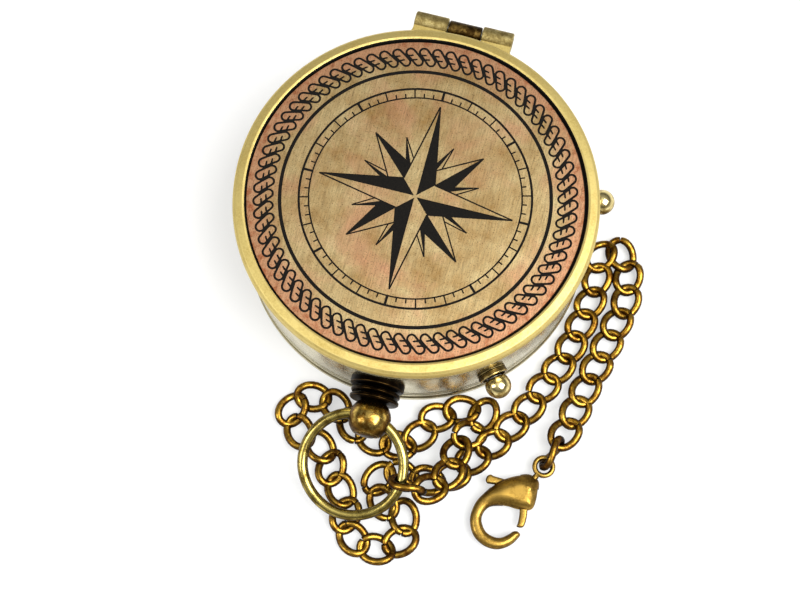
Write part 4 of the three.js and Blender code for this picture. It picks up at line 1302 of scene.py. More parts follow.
@dataclass
class EngravedPlate:
    """The etched sheet set into the lid: a border of linked ovals outside a line, and a plain wind rose."""

    radius: float = 27.42
    offset: Point2 = (-0.06, -0.18)
    low: float = 19.7
    top: float = 20.45
    chamfer: float = 0.06
    depth: float = 0.09
    slope: float = 0.035
    links: int = 72
    border_radius: float = 24.69
    line_radius: float = 22.0
    line_width: float = 0.58
    inner: float = 22.6
    outer: float = 26.66
    stroke: float = 0.37
    lobe: float = 0.715
    lobe_centres: tuple[Point2, Point2] = ((-0.64, 0.85), (0.64, -0.85))
    twist_at: float = -1.08
    twist: tuple[Point2, ...] = ((-0.88, 0.16), (-0.46, 0.5), (0.0, 0.62), (0.46, 0.5), (0.88, 0.16))
    barbs: tuple[tuple[Point3, ...], ...] = (
        ((-1.2, 0.26, 0.46), (-0.8, 0.31, 0.32), (-0.4, 0.33, 0.3), (-0.24, 0.31, 0.24), (-0.17, 0.29, 0.1)),
        (
            (-0.7, -0.58, 0.48), (-0.15, -0.48, 0.32), (0.25, -0.44, 0.3), (0.42, -0.45, 0.24),
            (0.49, -0.46, 0.1),
        ),
    )
    main_tip: float = 16.2
    diagonal_tip: float = 12.9
    small_tip: float = 10.4
    waist: float = 3.7
    scale: Point2 = (17.3, 18.9)
    scale_short: float = 18.1
    scale_marks: int = 72

    def to_plate(self, u: float, v: float, unit: float) -> Point2:
        """Turns a motif's place into the plate's x and y.

        Args:
            u: how far it lies clockwise from the motif's middle.
            v: how far it lies outside the border's circle.
            unit: the motif's number round the plate.

        Returns:
            Its x and y.
        """
        a = math.pi / 2 - math.radians(360 / self.links) * unit - u / self.border_radius
        r = self.border_radius + v
        return r * math.cos(a), r * math.sin(a)

    def capsule(self, radius: float) -> list[Point2]:
        """The outline of one linked oval: two half circles joined by straight sides.

        Args:
            radius: the half circles' radius.

        Returns:
            Its points.
        """
        (ax, ay), (bx, by) = self.lobe_centres
        lean = math.degrees(math.atan2(ay - by, ax - bx))
        out = arc((ax, ay), radius, lean - 90, lean + 90, 12)
        back = arc((bx, by), radius, lean + 90, lean + 270, 12)
        half = lambda p, q: tuple(Vector(p).lerp(Vector(q), 0.5))
        return [*out, half(out[-1], back[0]), *back, half(back[-1], out[0])]

    def motif(self, unit: int) -> list[Groove]:
        """Draws one linked oval: its outline, the dark twist before it and two barbs.

        Args:
            unit: its number round the plate.

        Returns:
            Its grooves.
        """
        oval = [self.capsule(self.lobe + self.stroke / 2), self.capsule(self.lobe - self.stroke / 2)]
        upper, lower = (Vector(p) for p in self.lobe_centres)
        way = (upper - lower).normalized()
        spine = [tuple(Vector((self.twist_at, 0.0)) + way * t) for t, _ in self.twist]
        grooves = [oval, band(spine, [width for _, width in self.twist])]
        grooves += [band([(x, y) for x, y, _ in barb], [width for _, _, width in barb]) for barb in self.barbs]
        return [[[self.to_plate(u, v, unit) for u, v in outline] for outline in groove] for groove in grooves]

    def border(self, shape: Shape) -> None:
        """Engraves one wedge of the border and turns it round the plate.

        Args:
            shape: the mesh it goes into.
        """
        step = 360 / self.links
        half = math.radians(step / 2)
        wedge = arc((0, 0), self.outer, 90 + step / 2, 90 - step / 2, 5)
        wedge += arc((0, 0), self.inner, 90 - step / 2, 90 + step / 2, 5)
        one = Shape()
        on_side = lambda p: abs(abs(math.atan2(p.x, p.y)) - half) < 1e-4
        grooves = [g for unit in (-1, 0, 1) for g in self.motif(unit)]
        engrave(one, wedge, grooves, self.top, self.depth, self.slope, on_side)
        for i in range(self.links):
            shape.add(one.points, one.faces, Matrix.Rotation(-math.radians(step) * i, 4, "Z"), one.marks)

    def rose(self) -> list[Groove]:
        """Draws the middle: a sixteen-point wind rose, a scale ring and the border's inner line.

        Returns:
            Its grooves.
        """

        def on_edge(tip: Point2, foot: Point2, bearing: float) -> Point2:
            """Finds where a ray meets the line from a tip to its foot.

            Args:
                tip: the point of the rose.
                foot: where that point's edge ends.
                bearing: the ray's bearing from the middle, in degrees.

            Returns:
                The place where they meet.
            """
            t, f, d = Vector(tip), Vector(foot), Vector(polar(1, bearing))
            n = Vector((d.y, -d.x))
            return tuple(t.lerp(f, t.dot(n) / (t - f).dot(n)))

        low, high = self.scale
        grooves = [band(circle(self.line_radius, 1), self.line_width, True)]
        grooves += [band(circle(high), 0.38, True), band(circle(low), 0.26, True)]
        for i in range(self.scale_marks):
            a = 360 / self.scale_marks * i
            reach = high + 0.05 if i % 3 == 0 else self.scale_short
            grooves.append(band([polar(low - 0.05, a), polar(reach, a)], 0.42 if i % 9 == 0 else 0.24))
        for a in (0, 90, 180, 270):
            for side in (1, -1):
                tip, foot = polar(self.main_tip, a), polar(self.waist, a + 45 * side)
                edge = on_edge(tip, foot, a + 22.5 * side)
                # The diagonal points stand between the main ones, and the small ones between all of them.
                diagonal = polar(self.diagonal_tip, a + 45 * side)
                small = polar(self.small_tip, a + 22.5 * side)
                near, far = on_edge(tip, foot, a + 17 * side), on_edge(diagonal, edge, a + 28 * side)
                lines = ((tip, foot, 0.26), (diagonal, edge, 0.24), (near, small, 0.22), (small, far, 0.22))
                grooves += [band([p, q], width) for p, q, width in lines]
                # One half of each point is filled, always the one on the same side.
                half = [polar(0.25, a + 22), foot, tip] if side > 0 else [foot, edge, diagonal]
                grooves += [[half], [[edge, near if side > 0 else far, small]]]
            grooves.append(band([polar(self.waist, a + 45), polar(self.diagonal_tip, a + 45)], 0.16))
        return grooves

    def build(self) -> bpy.types.Object:
        """Builds the plate.

        Returns:
            The piece.
        """
        side = self.radius - self.chamfer
        levels = [(self.outer, self.top), (side, self.top), (self.radius, self.top - self.chamfer)]
        levels += [(self.radius, self.low), (0.0, self.low)]
        shape = Shape().rows([ring(*level) for level in levels])
        self.border(shape)
        middle = [p[:2] for p in ring(self.inner, 0)]
        engrave(shape, middle, self.rose(), self.top, self.depth, self.slope)
        # The sheet was pressed in by hand, so it sits a little off the rim's centre.
        shape.points = [p + Vector((*self.offset, 0)) for p in shape.points]
        nodes, finish, filling = ["lid_engraved_plate"], Finishes.etched, Finishes.filling
        return make_piece("lid_etched_plate", shape, "lid", finish, nodes, 25, False, filling, 2e-4)


# Turned and fabricated pieces.


@dataclass
class Lid:
    """The lid: a spun shell with a rolled rim, a groove inside the rim filled black, partly as blacking and
    partly as painted shade, and the etched plate.
    """

    skirt: float = 26.9
    under: float = 18.85
    seat: float = 19.65
    mouth: float = 17.5
    groove: float = 27.9
    groove_top: float = 20.28
    rolled_from: float = 18.9
    play: float = 0.03

    def shell(self) -> bpy.types.Object:
        """Turns the shell.

        Returns:
            The piece.
        """
        profile = rounded(
            [
                (0.0, self.under), (self.skirt, self.under, 0.3), (self.skirt, self.mouth, 0.12),
                (29.45, self.mouth, 0.2), (29.92, 17.95, 0.45), (30.0, 18.87, 1.0), (29.86, 19.88, 0.55),
                (29.42, 20.3, 0.45), (28.3, 20.54, 0.26), (27.98, 20.46, 0.16), (27.76, 20.2, 0.14),
                (27.75, self.seat, 0.05), (0.0, self.seat),
            ],
            True,
            5,
        )
        shape = Shape().lathe(profile, Steps.CASE)
        # The groove's floor and the rim's inner wall get the black filling: partly the gap's blacking, partly
        # painted shade in the gap.
        dark = lambda p: p.xy.length < self.groove and self.seat - 0.01 < p.z < self.groove_top
        shape.marks = [1.0 if dark(p) else 0.0 for p in shape.points]
        # The rim was rolled by hand, so it is a few hundredths of a millimetre out of round.
        for i, p in enumerate(shape.points):
            if p.xy.length >= 27:
                a = math.atan2(p.y, p.x)
                swell = 0.02 * math.sin(3 * a + 0.6) + 0.012 * math.sin(7 * a)
                swell = swell if p.z >= self.rolled_from else 0.0
                out = Vector((p.x, p.y, 0)).normalized()
                shape.points[i] = p + out * min(0.0, swell - self.play)
        nodes, finish, filling = ["lid_shell"], Finishes.polished, Finishes.filling
        return make_piece("lid_rolled_shell", shape, "lid", finish, nodes, 32, True, filling)

    def build(self) -> None:
        """Builds the shell and the etched plate."""
        self.shell()
        EngravedPlate().build()


@dataclass
class Case:
    """The case: a turned cup with a foot, scribed grooves, and a rebate that holds the works."""

    radius: float = 29.3
    foot: float = 29.55
    height: float = 17.2
    bore: float = 26.4
    rebate: float = 27.3
    ledge: float = 14.5
    floor: float = 2.0
    groove_depth: float = 0.22
    grooves: tuple[float, ...] = (3.4, 4.5, 14.9)

    def build(self) -> bpy.types.Object:
        """Turns the cup.

        Returns:
            The piece.
        """
        radius, top, foot = self.radius, self.height, self.foot
        wall: list[tuple[float, ...]] = [(0.0, 0.35), (22.0, 0.35, 0.2), (22.4, 0.0, 0.15), (29.2, 0.0, 0.3)]
        wall += [(foot, 0.4, 0.3), (foot, 1.55, 0.15), (radius, 1.75, 0.1)]
        deep = radius - self.groove_depth
        for z in self.grooves:
            wall += [(radius, z - 0.28, 0.06), (deep, z - 0.12, 0.08)]
            wall += [(deep, z + 0.12, 0.08), (radius, z + 0.28, 0.06)]
        wall += [(radius, top - 0.35, 0.2), (radius - 0.35, top, 0.15), (self.rebate + 0.2, top, 0.1)]
        wall += [(self.rebate, top - 0.2, 0.1), (self.rebate, self.ledge), (self.bore, self.ledge, 0.1)]
        wall += [(self.bore, self.floor, 0.6), (0.0, self.floor)]
        shape = Shape().lathe(rounded(wall, True, 4), Steps.CASE)
        return make_piece("case_turned_cup", shape, "case", Finishes.aged, ["case_body"])


@dataclass
class Hinge:
    """The lid hinge at the back: two knuckles on the lid, one on a strap of the case, and their pin."""

    axis: Point2 = (31.75, 17.35)
    knuckle: float = 1.65
    case_knuckle: float = 1.4
    bore: float = 0.85
    left: Point2 = (-8.5, -2.8)
    right: Point2 = (3.2, 8.5)
    middle: Point2 = (-2.62, 3.02)
    bevel: float = 0.16
    flare: float = 0.1
    rim: float = 29.4
    lug_edge: float = 30.5
    lug_level: Point2 = (17.9, 18.5)
    strap_face: float = 30.55

    def barrel(self, name: str, span: Point2) -> bpy.types.Object:
        """Turns a knuckle of the lid.

        Args:
            name: the piece's last name, and the CAD node's.
            span: its first and last x.

        Returns:
            The piece.
        """
        y, z = self.axis
        turns = [TAU * i / 40 for i in range(40)]
        low, high = span
        wide, bevel, bore, flare = self.knuckle, self.bevel, self.bore, self.flare
        levels = (
            (bore, low + flare), (bore + flare, low), (wide - bevel, low), (wide, low + bevel),
            (wide, high - bevel), (wide - bevel, high), (bore + flare, high), (bore, high - flare),
        )
        rows = [[(x, y + r * math.cos(a), z + r * math.sin(a)) for a in turns] for r, x in levels]
        node = [f"lid_hinge_leaf_{name}"]
        shape = Shape().rows(rows, None, True)
        return make_piece(f"lid_hinge_knuckle_{name}", shape, "lid", Finishes.knuckle, node, 28)

    def lug(self, name: str, outer: float, inner: float) -> bpy.types.Object:
        """Builds the plate that carries a knuckle and flows into the rim.

        Args:
            name: the piece's last name.
            outer: x of the side away from the middle.
            inner: x of the side next to the case's knuckle.

        Returns:
            The piece.
        """
        way = 1 if outer > 0 else -1
        rim = lambda x: math.sqrt(self.rim**2 - x * x)
        far, near = outer + way * 2.0, outer + way * 1.1
        flare = [(far, rim(far)), (near, rim(near) + 0.42)]
        flare += [(outer + way * 0.4, rim(outer) + 0.75), (outer + way * 0.08, rim(outer) + 1.4)]
        outline = [(inner, rim(inner) - 0.5), (far, rim(far) - 0.5), *flare]
        outline += [(outer, 30.2), (outer, self.lug_edge), (inner, self.lug_edge)]
        shape = Shape().plate(outline[::way], *self.lug_level, 0.12)
        return make_piece(f"lid_hinge_lug_{name}", shape, "lid", Finishes.polished, [], 28)

    def strap(self) -> bpy.types.Object:
        """Builds the case's strap with its knuckle, and the two rivets that hold it.

        Returns:
            The piece.
        """
        face = self.strap_face
        outline = rounded([(29.1, 12.2, 0.1), (30.2, 12.2, 0.5), (face, 12.9, 0.4), (face, 16.0, 0.2)], False)
        outline += [*arc(self.axis, self.case_knuckle, -140, 172, 28), (30.1, 17.3), (29.1, 17.3)]
        turn = Matrix(((0, 0, 1, 0), (1, 0, 0, 0), (0, 1, 0, 0), (0, 0, 0, 1)))
        shape = Shape().plate(outline, *self.middle, 0.12, turn)
        dome = rounded([(0, -0.6), (0.5, -0.6), (0.5, 0.0, 0.05), (0.42, 0.14, 0.1), (0.0, 0.2)])
        for x in (-1.3, 1.7):
            place = Matrix.Translation((x, face, 14.0)) @ Matrix.Rotation(-math.pi / 2, 4, "X")
            shape.lathe(dome, Steps.RIVET, place)
        return make_piece("case_hinge_strap", shape, "case", Finishes.strap, ["case_hinge_leaf"], 28)

    def pin(self) -> bpy.types.Object:
        """Turns the pin with its two eased ends.

        Returns:
            The piece.
        """
        half = [(0.6, 8.35, 0.1), (0.75, 8.15, 0.1)]
        profile = [(0, -8.35), *[(r, -x, e) for r, x, e in half], *half[::-1], (0, 8.35)]
        place = Matrix.Translation((0, *self.axis)) @ Matrix.Rotation(math.pi / 2, 4, "Y")
        shape = Shape().lathe(rounded(profile), Steps.PIN, place)
        return make_piece("hinge_pin_rod", shape, "case", Finishes.steel, ["hinge_pin"])

    def build(self) -> None:
        """Builds both lid knuckles with their lugs, the case strap and the pin."""
        self.barrel("left", self.left)
        self.barrel("right", self.right)
        self.lug("left", self.left[0] + 0.06, self.left[1] - 0.06)
        self.lug("right", self.right[1] - 0.06, self.right[0] + 0.06)
        self.strap()
        self.pin()


@dataclass
class Pendant:
    """The pendant at the front: flange and two dark discs, then the ball that carries the bow ring."""

    azimuth: float = -87.5
    height: float = 9.0
    ball: float = 3.5
    centre: float = 35.3
    half: float = 2.72
    bow_hole: float = 1.06
    bow_way: Point3 = (0.99357, -0.1132, 0)
    reach: float = 5.0

    def collar(self) -> bpy.types.Object:
        """Turns the flange and the two discs.

        Returns:
            The piece.
        """
        profile: list[tuple[float, ...]] = [
            (0.0, 28.4), (4.5, 28.4), (4.5, 30.0, 0.2), (4.2, 30.22, 0.12), (3.2, 30.24, 0.1),
            (3.2, 30.6, 0.08), (3.95, 30.64, 0.15), (4.1, 30.85, 0.2), (4.1, 31.15, 0.2), (3.95, 31.34, 0.15),
            (3.2, 31.36, 0.1), (3.2, 31.72, 0.08), (3.95, 31.76, 0.15), (4.1, 31.95, 0.2), (4.1, 32.28, 0.2),
            (3.9, 32.46, 0.15), (0.0, 32.46),
        ]
        shape = Shape().lathe(rounded(profile, True, 4), Steps.COLLAR, outward(self.azimuth, self.height))
        return make_piece("pendant_ribbed_collar", shape, "case", Finishes.bronze, ["pendant_collar"])

    def knob(self) -> bpy.types.Object:
        """Turns the ball with its waist, screw and grooved nose, and drills the hole for the bow.

        Returns:
            The piece.
        """
        cut_at = math.degrees(math.asin(self.half / self.ball))
        side = [(r, self.centre + s) for r, s in arc((0, 0), self.ball, -cut_at, cut_at, 22)]
        nose = self.centre + self.half
        front = ((2.02, 0.06), (1.9, -0.06), (1.8, -0.06), (1.66, 0.14), (1.3, 0.27), (0.8, 0.36), (0.0, 0.4))
        profile = [(0.0, 24.05), (1.15, 24.05), (1.3, 24.2), (1.3, 32.0), (2.1, 32.3), *side]
        profile += [(r, nose + s) for r, s in front]
        place = outward(self.azimuth, self.height)
        blank = Shape().lathe(profile, Steps.COLLAR, place).mesh("ball_blank")
        middle = place @ Vector((0, 0, self.centre))
        line = [middle + Vector(self.bow_way) * s for s in np.linspace(-self.reach, self.reach, 41)]
        # The drill widens towards both ends, which rounds the mouths of the hole.
        flare = lambda t: self.bow_hole + 0.5 * max(0.0, abs(t - 0.5) * 10 - 3.1)
        made = cut("pendant_drilled_ball", blank, Shape().tube(line, flare, 32).mesh("drill"))
        return make_piece("pendant_drilled_ball", made, "case", Finishes.ball, ["pendant_ball"])

    def build(self) -> None:
        """Builds the collar and the ball."""
        self.collar()
        self.knob()


@dataclass
class Bow:
    """The bow ring of round wire, with the first link of the chain on it."""

    centre: Point3 = (0.682, -42.799, 6.389)
    down: Point3 = (-0.1070, -0.9394, -0.3256)
    across: Point3 = (0.99357, -0.1132, 0.0)
    radius: float = 8.4
    wire: float = 1.75
    link_at: float = 9.555

    def build(self) -> None:
        """Bends the ring and hangs the first link on it."""
        centre = Vector(self.centre)
        down, across = Vector(self.down).normalized(), Vector(self.across).normalized()
        line = []
        for i in range(180):
            a = TAU * i / 180
            # The ring was bent by hand round a mandrel, so it isn't a true circle.
            r = self.radius + 0.03 * math.sin(2 * a + 0.5) + 0.02 * math.sin(5 * a)
            line.append(centre + across * (r * math.cos(a)) + down * (r * math.sin(a)))
        wire = Shape().tube(line, self.wire / 2, 28, True)
        make_wire("bow_wire_ring", wire, "bow", Finishes.bow, "bow_ring")
        link, chain = Shape(), Chain()
        chain.link(link, aim(centre + across * self.link_at, across, down * -1), chain.lift)
        make_wire("chain_first_link", link, "bow", Finishes.chain, "chain_bow_link")


@dataclass
class Stud:
    """A side stud: a collar screwed into the wall and a ball-ended plunger that a small spring holds out."""

    name: str
    azimuth: float
    body: str
    inner_end: tuple[Point2, ...]
    height: float = 8.5
    stem: float = 0.75
    collar_radius: float = 2.5
    collar_end: float = 30.3
    cup: float = 2.06
    cup_floor: float = 29.3
    ball: float = 2.15
    ball_centre: float = 31.85
    ball_back: float = 30.73
    coil_radius: float = 1.2
    coil_wire: float = 0.34
    coil_turns: float = 4.5
    coil_span: Point2 = (27.59, 30.44)

    def build(self) -> None:
        """Turns the collar and the plunger, and winds the spring."""
        place, wide, end = outward(self.azimuth, self.height), self.collar_radius, self.collar_end
        profile: list[tuple[float, ...]] = [(self.stem, 26.0), (1.75, 26.0), (1.75, 28.4), (wide, 28.4)]
        profile += [(wide, 29.3, 0.1), (2.38, 29.42, 0.06), (wide, 29.54, 0.06), (wide, end, 0.16)]
        profile += [(self.cup, end, 0.08), (self.cup, self.cup_floor, 0.1), (self.stem, self.cup_floor)]
        collar = Shape().lathe(rounded(profile, True, 4), Steps.STUD, place)
        make_piece(f"{self.name}_ring_collar", collar, "case", Finishes.collar, [f"{self.name}_collar"])
        back = math.degrees(math.asin((self.ball_centre - self.ball_back) / self.ball))
        side = [(r, self.ball_centre + s) for r, s in arc((0, 0), self.ball, -back, 90, 26)]
        neck = [*self.inner_end, (0.7, self.ball_back - 0.08), (0.85, self.ball_back)]
        knob = Shape().lathe(neck + side, Steps.STUD, place)
        make_piece(f"{self.name}_ball_plunger", knob, self.body, Finishes.stud, [f"{self.name}_plunger"])
        self.coil(place)

    def coil(self, place: Matrix, steps: int = 20) -> None:
        """Winds the spring along the stud's axis, between the case and the ball.

        Args:
            place: the stud's placement.
            steps: how many steps a turn has.
        """
        near, far = self.coil_span
        r, count = self.coil_radius, self.coil_turns * steps
        line = []
        for i in range(round(count) + 1):
            a = TAU * i / steps
            # The end turns are closed: the pitch only opens between them.
            eased = min(1.0, max(0.0, (i / count - 0.1) / 0.8))
            line.append(place @ Vector((r * math.cos(a), r * math.sin(a), near + (far - near) * eased)))
        spring = Shape().tube(line, self.coil_wire / 2, 8)
        obj = make_wire(f"{self.name}_coil_spring", spring, "", Finishes.steel, f"{self.name}_spring")
        start, end = (place @ Vector((0, 0, s)) * MM for s in self.coil_span)
        tuple(start)
        tuple(end)
        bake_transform(obj)


@dataclass
class Clasp:
    """The lobster clasp: a cast teardrop body with its hook and eye, a sprung trigger and a rivet."""

    eye: Point2 = (31.1, -34.4)
    azimuth: float = -114.9
    middle: float = 1.85
    body_half: float = 1.78
    hook_half: float = 0.88
    hook_from: float = 7.6
    trigger_half: float = 0.5
    pivot: Point2 = (4.74, 0.24)
    eye_radius: float = 1.5
    eye_wire: float = 0.43
    eye_rise: float = 0.35
    link_reach: float = 2.55
    link_height: float = 2.65
    outline: tuple[Point2, ...] = (
        (2.3, 0.0), (2.6, -1.25), (3.9, -2.5), (5.3, -3.5), (6.5, -4.2), (7.8, -4.55), (9.2, -4.8),
        (11.5, -5.0), (13.8, -4.4), (15.3, -3.3), (16.3, -1.7), (16.5, 0.2), (16.0, 1.9), (15.0, 3.1),
        (13.4, 3.9), (11.8, 4.1), (11.2, 3.95), (11.1, 3.3), (11.6, 2.75), (12.4, 2.5), (13.7, 1.8),
        (14.35, 0.65), (14.45, -0.75), (13.6, -2.25), (12.5, -2.85), (11.3, -2.85), (10.5, -2.4),
        (9.6, -1.4), (8.9, -0.3), (8.3, 1.1), (7.3, 2.6), (6.4, 3.0), (5.4, 2.7), (3.7, 1.85), (2.5, 1.0),
    )
    trigger: tuple[Point2, ...] = (
        (6.65, -6.0), (7.3, -6.25), (7.95, -5.95), (8.1, -5.4), (7.6, -4.6), (6.2, -2), (6, -0.6), (8.3, 1.5),
        (9.9, 2.45), (10.6, 2.75), (9.95, 3.6), (8.4, 3.1), (6.6, 2), (4.6, 1.3), (3.85, 0.7), (3.9, -0.6),
        (5.2, -2.6), (6.4, -5.2),
    )

    def place(self) -> Matrix:
        """Where the clasp lies: x runs from its eye to its hook."""
        turn = Matrix.Rotation(math.radians(self.azimuth), 4, "Z")
        return Matrix.Translation((*self.eye, self.middle)) @ turn

    def smooth(self, corners: Outline, steps: int) -> list[Point2]:
        """Draws a smooth closed curve through the corners.

        Args:
            corners: points on the curve.
            steps: how many steps from one to the next.

        Returns:
            The curve's points.
        """
        out = []
        count = len(corners)
        for i in range(count):
            a, b, c, d = (Vector(corners[(i + k) % count]) for k in (-1, 0, 1, 2))
            for t in (k / steps for k in range(steps)):
                bent = (2 * a - 5 * b + 4 * c - d) * t * t + (3 * b - a - 3 * c + d) * t**3
                p = 0.5 * (2 * b + (c - a) * t + bent)
                out.append((p.x, p.y))
        return out

    def pillow(
        self,
        outline: Outline,
        half: Callable[[float], float],
        spread: Callable[[float], float],
        grid: float,
        rings: Sequence[float],
    ) -> Shape:
        """Makes a cast form: flat outline, domed on both faces.

        Args:
            outline: the outline.
            half: half thickness at x.
            spread: how far in from the edge the dome still rises, at x.
            grid: spacing of the inner surface points.
            rings: depths of the rows of points that follow the outline.

        Returns:
            The shape, in the clasp's frame with z 0 in its middle.
        """
        edge = np.array(outline)
        last, after = np.roll(edge, 1, 0), np.roll(edge, -1, 0)
        along = after - edge

        def depth_of(points: np.ndarray) -> np.ndarray:
            """How far each point lies from the outline."""
            share = np.clip(((points[:, None] - edge) * along).sum(2) / (along**2).sum(1), 0, 1)
            return np.sqrt((((edge + along * share[..., None]) - points[:, None]) ** 2).sum(2)).min(1)

        low, high = edge.min(0), edge.max(0)
        xs, ys = np.meshgrid(np.arange(low[0], high[0], grid), np.arange(low[1], high[1], grid * 0.87))
        xs[1::2] += grid / 2
        inner = np.stack([xs.ravel(), ys.ravel()], 1)
        inner = inner[inside(inner, outline)]
        depth = depth_of(inner)
        deep = depth > rings[-1] + grid * 0.5
        inner, depth = inner[deep], depth[deep]
        normal = np.stack([-(after - last)[:, 1], (after - last)[:, 0]], 1)
        normal /= np.linalg.norm(normal, axis=1)[:, None]
        for offset in rings:
            row = edge + normal * offset
            near = depth_of(row)
            kept = (near > 0.96 * offset) & inside(row, outline)
            inner, depth = np.concatenate([inner, row[kept]]), np.concatenate([depth, near[kept]])
        count = len(outline)
        points = [Vector(p) for p in (*outline, *inner)]
        edges = [(i, (i + 1) % count) for i in range(count)]
        spots, _, faces, ids, _, _ = delaunay_2d_cdt(points, edges, [], 1, 1e-6)
        depths = [0.0] * count + list(depth)
        rise = []
        for p, source in zip(spots, ids):
            w = min(1.0, max((depths[i] for i in source), default=0.0) / spread(p.x))
            rise.append(half(p.x) * math.sqrt(max(0.0, 1 - (1 - w) ** 2)))
        faces = [f for f, keep in zip(faces, inside(middles(spots, faces), outline)) if keep]
        shape = Shape().add([(p.x, p.y, h) for p, h in zip(spots, rise)], faces)
        return shape.add([(p.x, p.y, -h) for p, h in zip(spots, rise)], [f[::-1] for f in faces])

    def half_at(self, x: float) -> float:
        """Half the body's thickness: it swells from the eye and eases down to the hook.

        Args:
            x: the place along the clasp.

        Returns:
            Half the thickness there.
        """
        if x <= self.hook_from:
            return self.body_half * min(1.0, 0.62 + 0.38 * (x - 2.2) / 2.6)
        ease = min(1.0, max(0.0, (x - self.hook_from) / 4.2))
        return self.body_half + (self.hook_half - self.body_half) * ease * (3 - 2 * ease) * ease

    def casting(self) -> bpy.types.Object:
        """Casts the body with its hook and eye, and mills the trigger's slot.

        Returns:
            The piece.
        """
        name = "clasp_cast_body"
        spread = lambda x: 2.1 if x < 8 else max(0.9, 2.1 - (x - 8) * 0.35)
        rings = (0.03, 0.1, 0.2, 0.33, 0.48, 0.64, 0.8)
        body = self.pillow(self.smooth(self.outline, 6), self.half_at, spread, 0.28, rings)
        mill = rounded([(3.5, -6.5, 0.2), (8.35, -6.5), (8.35, -1.2), (9.7, -1.2), (9.7, 6, 0.2), (3.5, 6)])
        made = cut(name, body.mesh("clasp_blank", 1e-3), Shape().plate(mill, -0.62, 0.62).mesh("slot"))
        radius, rise, turns = self.eye_radius, self.eye_rise, [TAU * i / 48 for i in range(48)]
        eye = [Vector((radius * math.cos(a), radius * math.sin(a), rise)) for a in turns]
        neck = [Vector((x, 0, rise - 0.3 * (x - radius))) for x in (radius, 1.9, 2.3, 2.8)]
        loop = Shape().tube(eye, self.eye_wire, 16, True).tube(neck, lambda t: 0.44 + 0.3 * abs(t - 0.4))
        place = Matrix.Scale(MM, 4) @ self.place() @ Matrix.Scale(1 / MM, 4)
        whole = merge(name, [made, loop.mesh("eye", 0)], place)
        return make_piece(name, whole, "case", Finishes.clasp, ["clasp_body"], 50, False)

    def lever(self) -> bpy.types.Object:
        """Stamps the trigger with its thumb nub and rounds its edges.

        Returns:
            The piece.
        """
        corners = self.smooth(self.trigger, 5)
        # The pillow wants its outline counter-clockwise.
        area = sum(a[0] * b[1] - a[1] * b[0] for a, b in zip(corners, [*corners[1:], corners[0]]))
        corners = corners if area > 0 else corners[::-1]
        rings = (0.02, 0.07, 0.15, 0.25, 0.34)
        flat = self.pillow(corners, lambda x: self.trigger_half, lambda x: rings[-1], 0.3, rings)
        shape = Shape().add(flat.points, flat.faces, self.place())
        name, node = "clasp_thumb_trigger", ["clasp_trigger"]
        return make_piece(name, shape, "clasp_trigger", Finishes.clasp, node, 60, False, None, 1e-3)

    def rivet(self) -> bpy.types.Object:
        """Turns the trigger's rivet with its two low heads.

        Returns:
            The piece.
        """
        half = [(0, 1.8), (0.3, 1.8, 0.1), (0.6, 1.72, 0.08), (0.62, 1.6, 0.05), (0.5, 1.6)]
        profile = [(r, -z, *ease) for r, z, *ease in half] + half[::-1]
        place = self.place() @ Matrix.Translation((*self.pivot, 0))
        shape = Shape().lathe(rounded(profile), Steps.PIN, place)
        return make_piece("clasp_headed_rivet", shape, "case", Finishes.clasp, ["clasp_rivet"])

    def leaf(self) -> bpy.types.Object:
        """Bends the leaf spring between the body and the trigger.

        Returns:
            The piece.
        """
        corners: list[tuple[float, ...]] = [(3.6, -1.7, 0.3), (4.32, -2.36, 0.06), (4.5, -2.2, 0.06)]
        corners += [(3.62, -1.3, 0.2), (3.62, -0.2), (3.5, -0.2)]
        shape = Shape().plate(rounded(corners), -0.35, 0.35, 0.03, self.place())
        obj = make_piece("clasp_leaf_spring", shape, "", Finishes.steel, ["clasp_spring"], 40, False)
        start, end = (self.place() @ Vector(p) * MM for p in ((3.62, -0.9, 0), (4.2, -2.2, 0)))
        tuple(start)
        tuple(end)
        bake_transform(obj)
        return obj

    def end_link(self, end: Vector) -> bpy.types.Object:
        """Bends the chain's last link, which stands on edge in the clasp's eye.

        Args:
            end: the chain's end.

        Returns:
            The piece.
        """
        eye = Vector((*self.eye, self.link_height))
        back = Vector((end.x - eye.x, end.y - eye.y, 0)).normalized()
        shape = Shape()
        Chain().link(shape, aim(eye + back * self.link_reach, back, UP.cross(back)), 0.4)
        return make_wire("chain_end_link", shape, "case", Finishes.chain, "chain_clasp_link")

    def build(self, end: Vector) -> list[bpy.types.Object]:
        """Builds the clasp.

        Args:
            end: the chain's end.

        Returns:
            Its pieces.
        """
        return [self.casting(), self.lever(), self.rivet(), self.leaf(), self.end_link(end)]


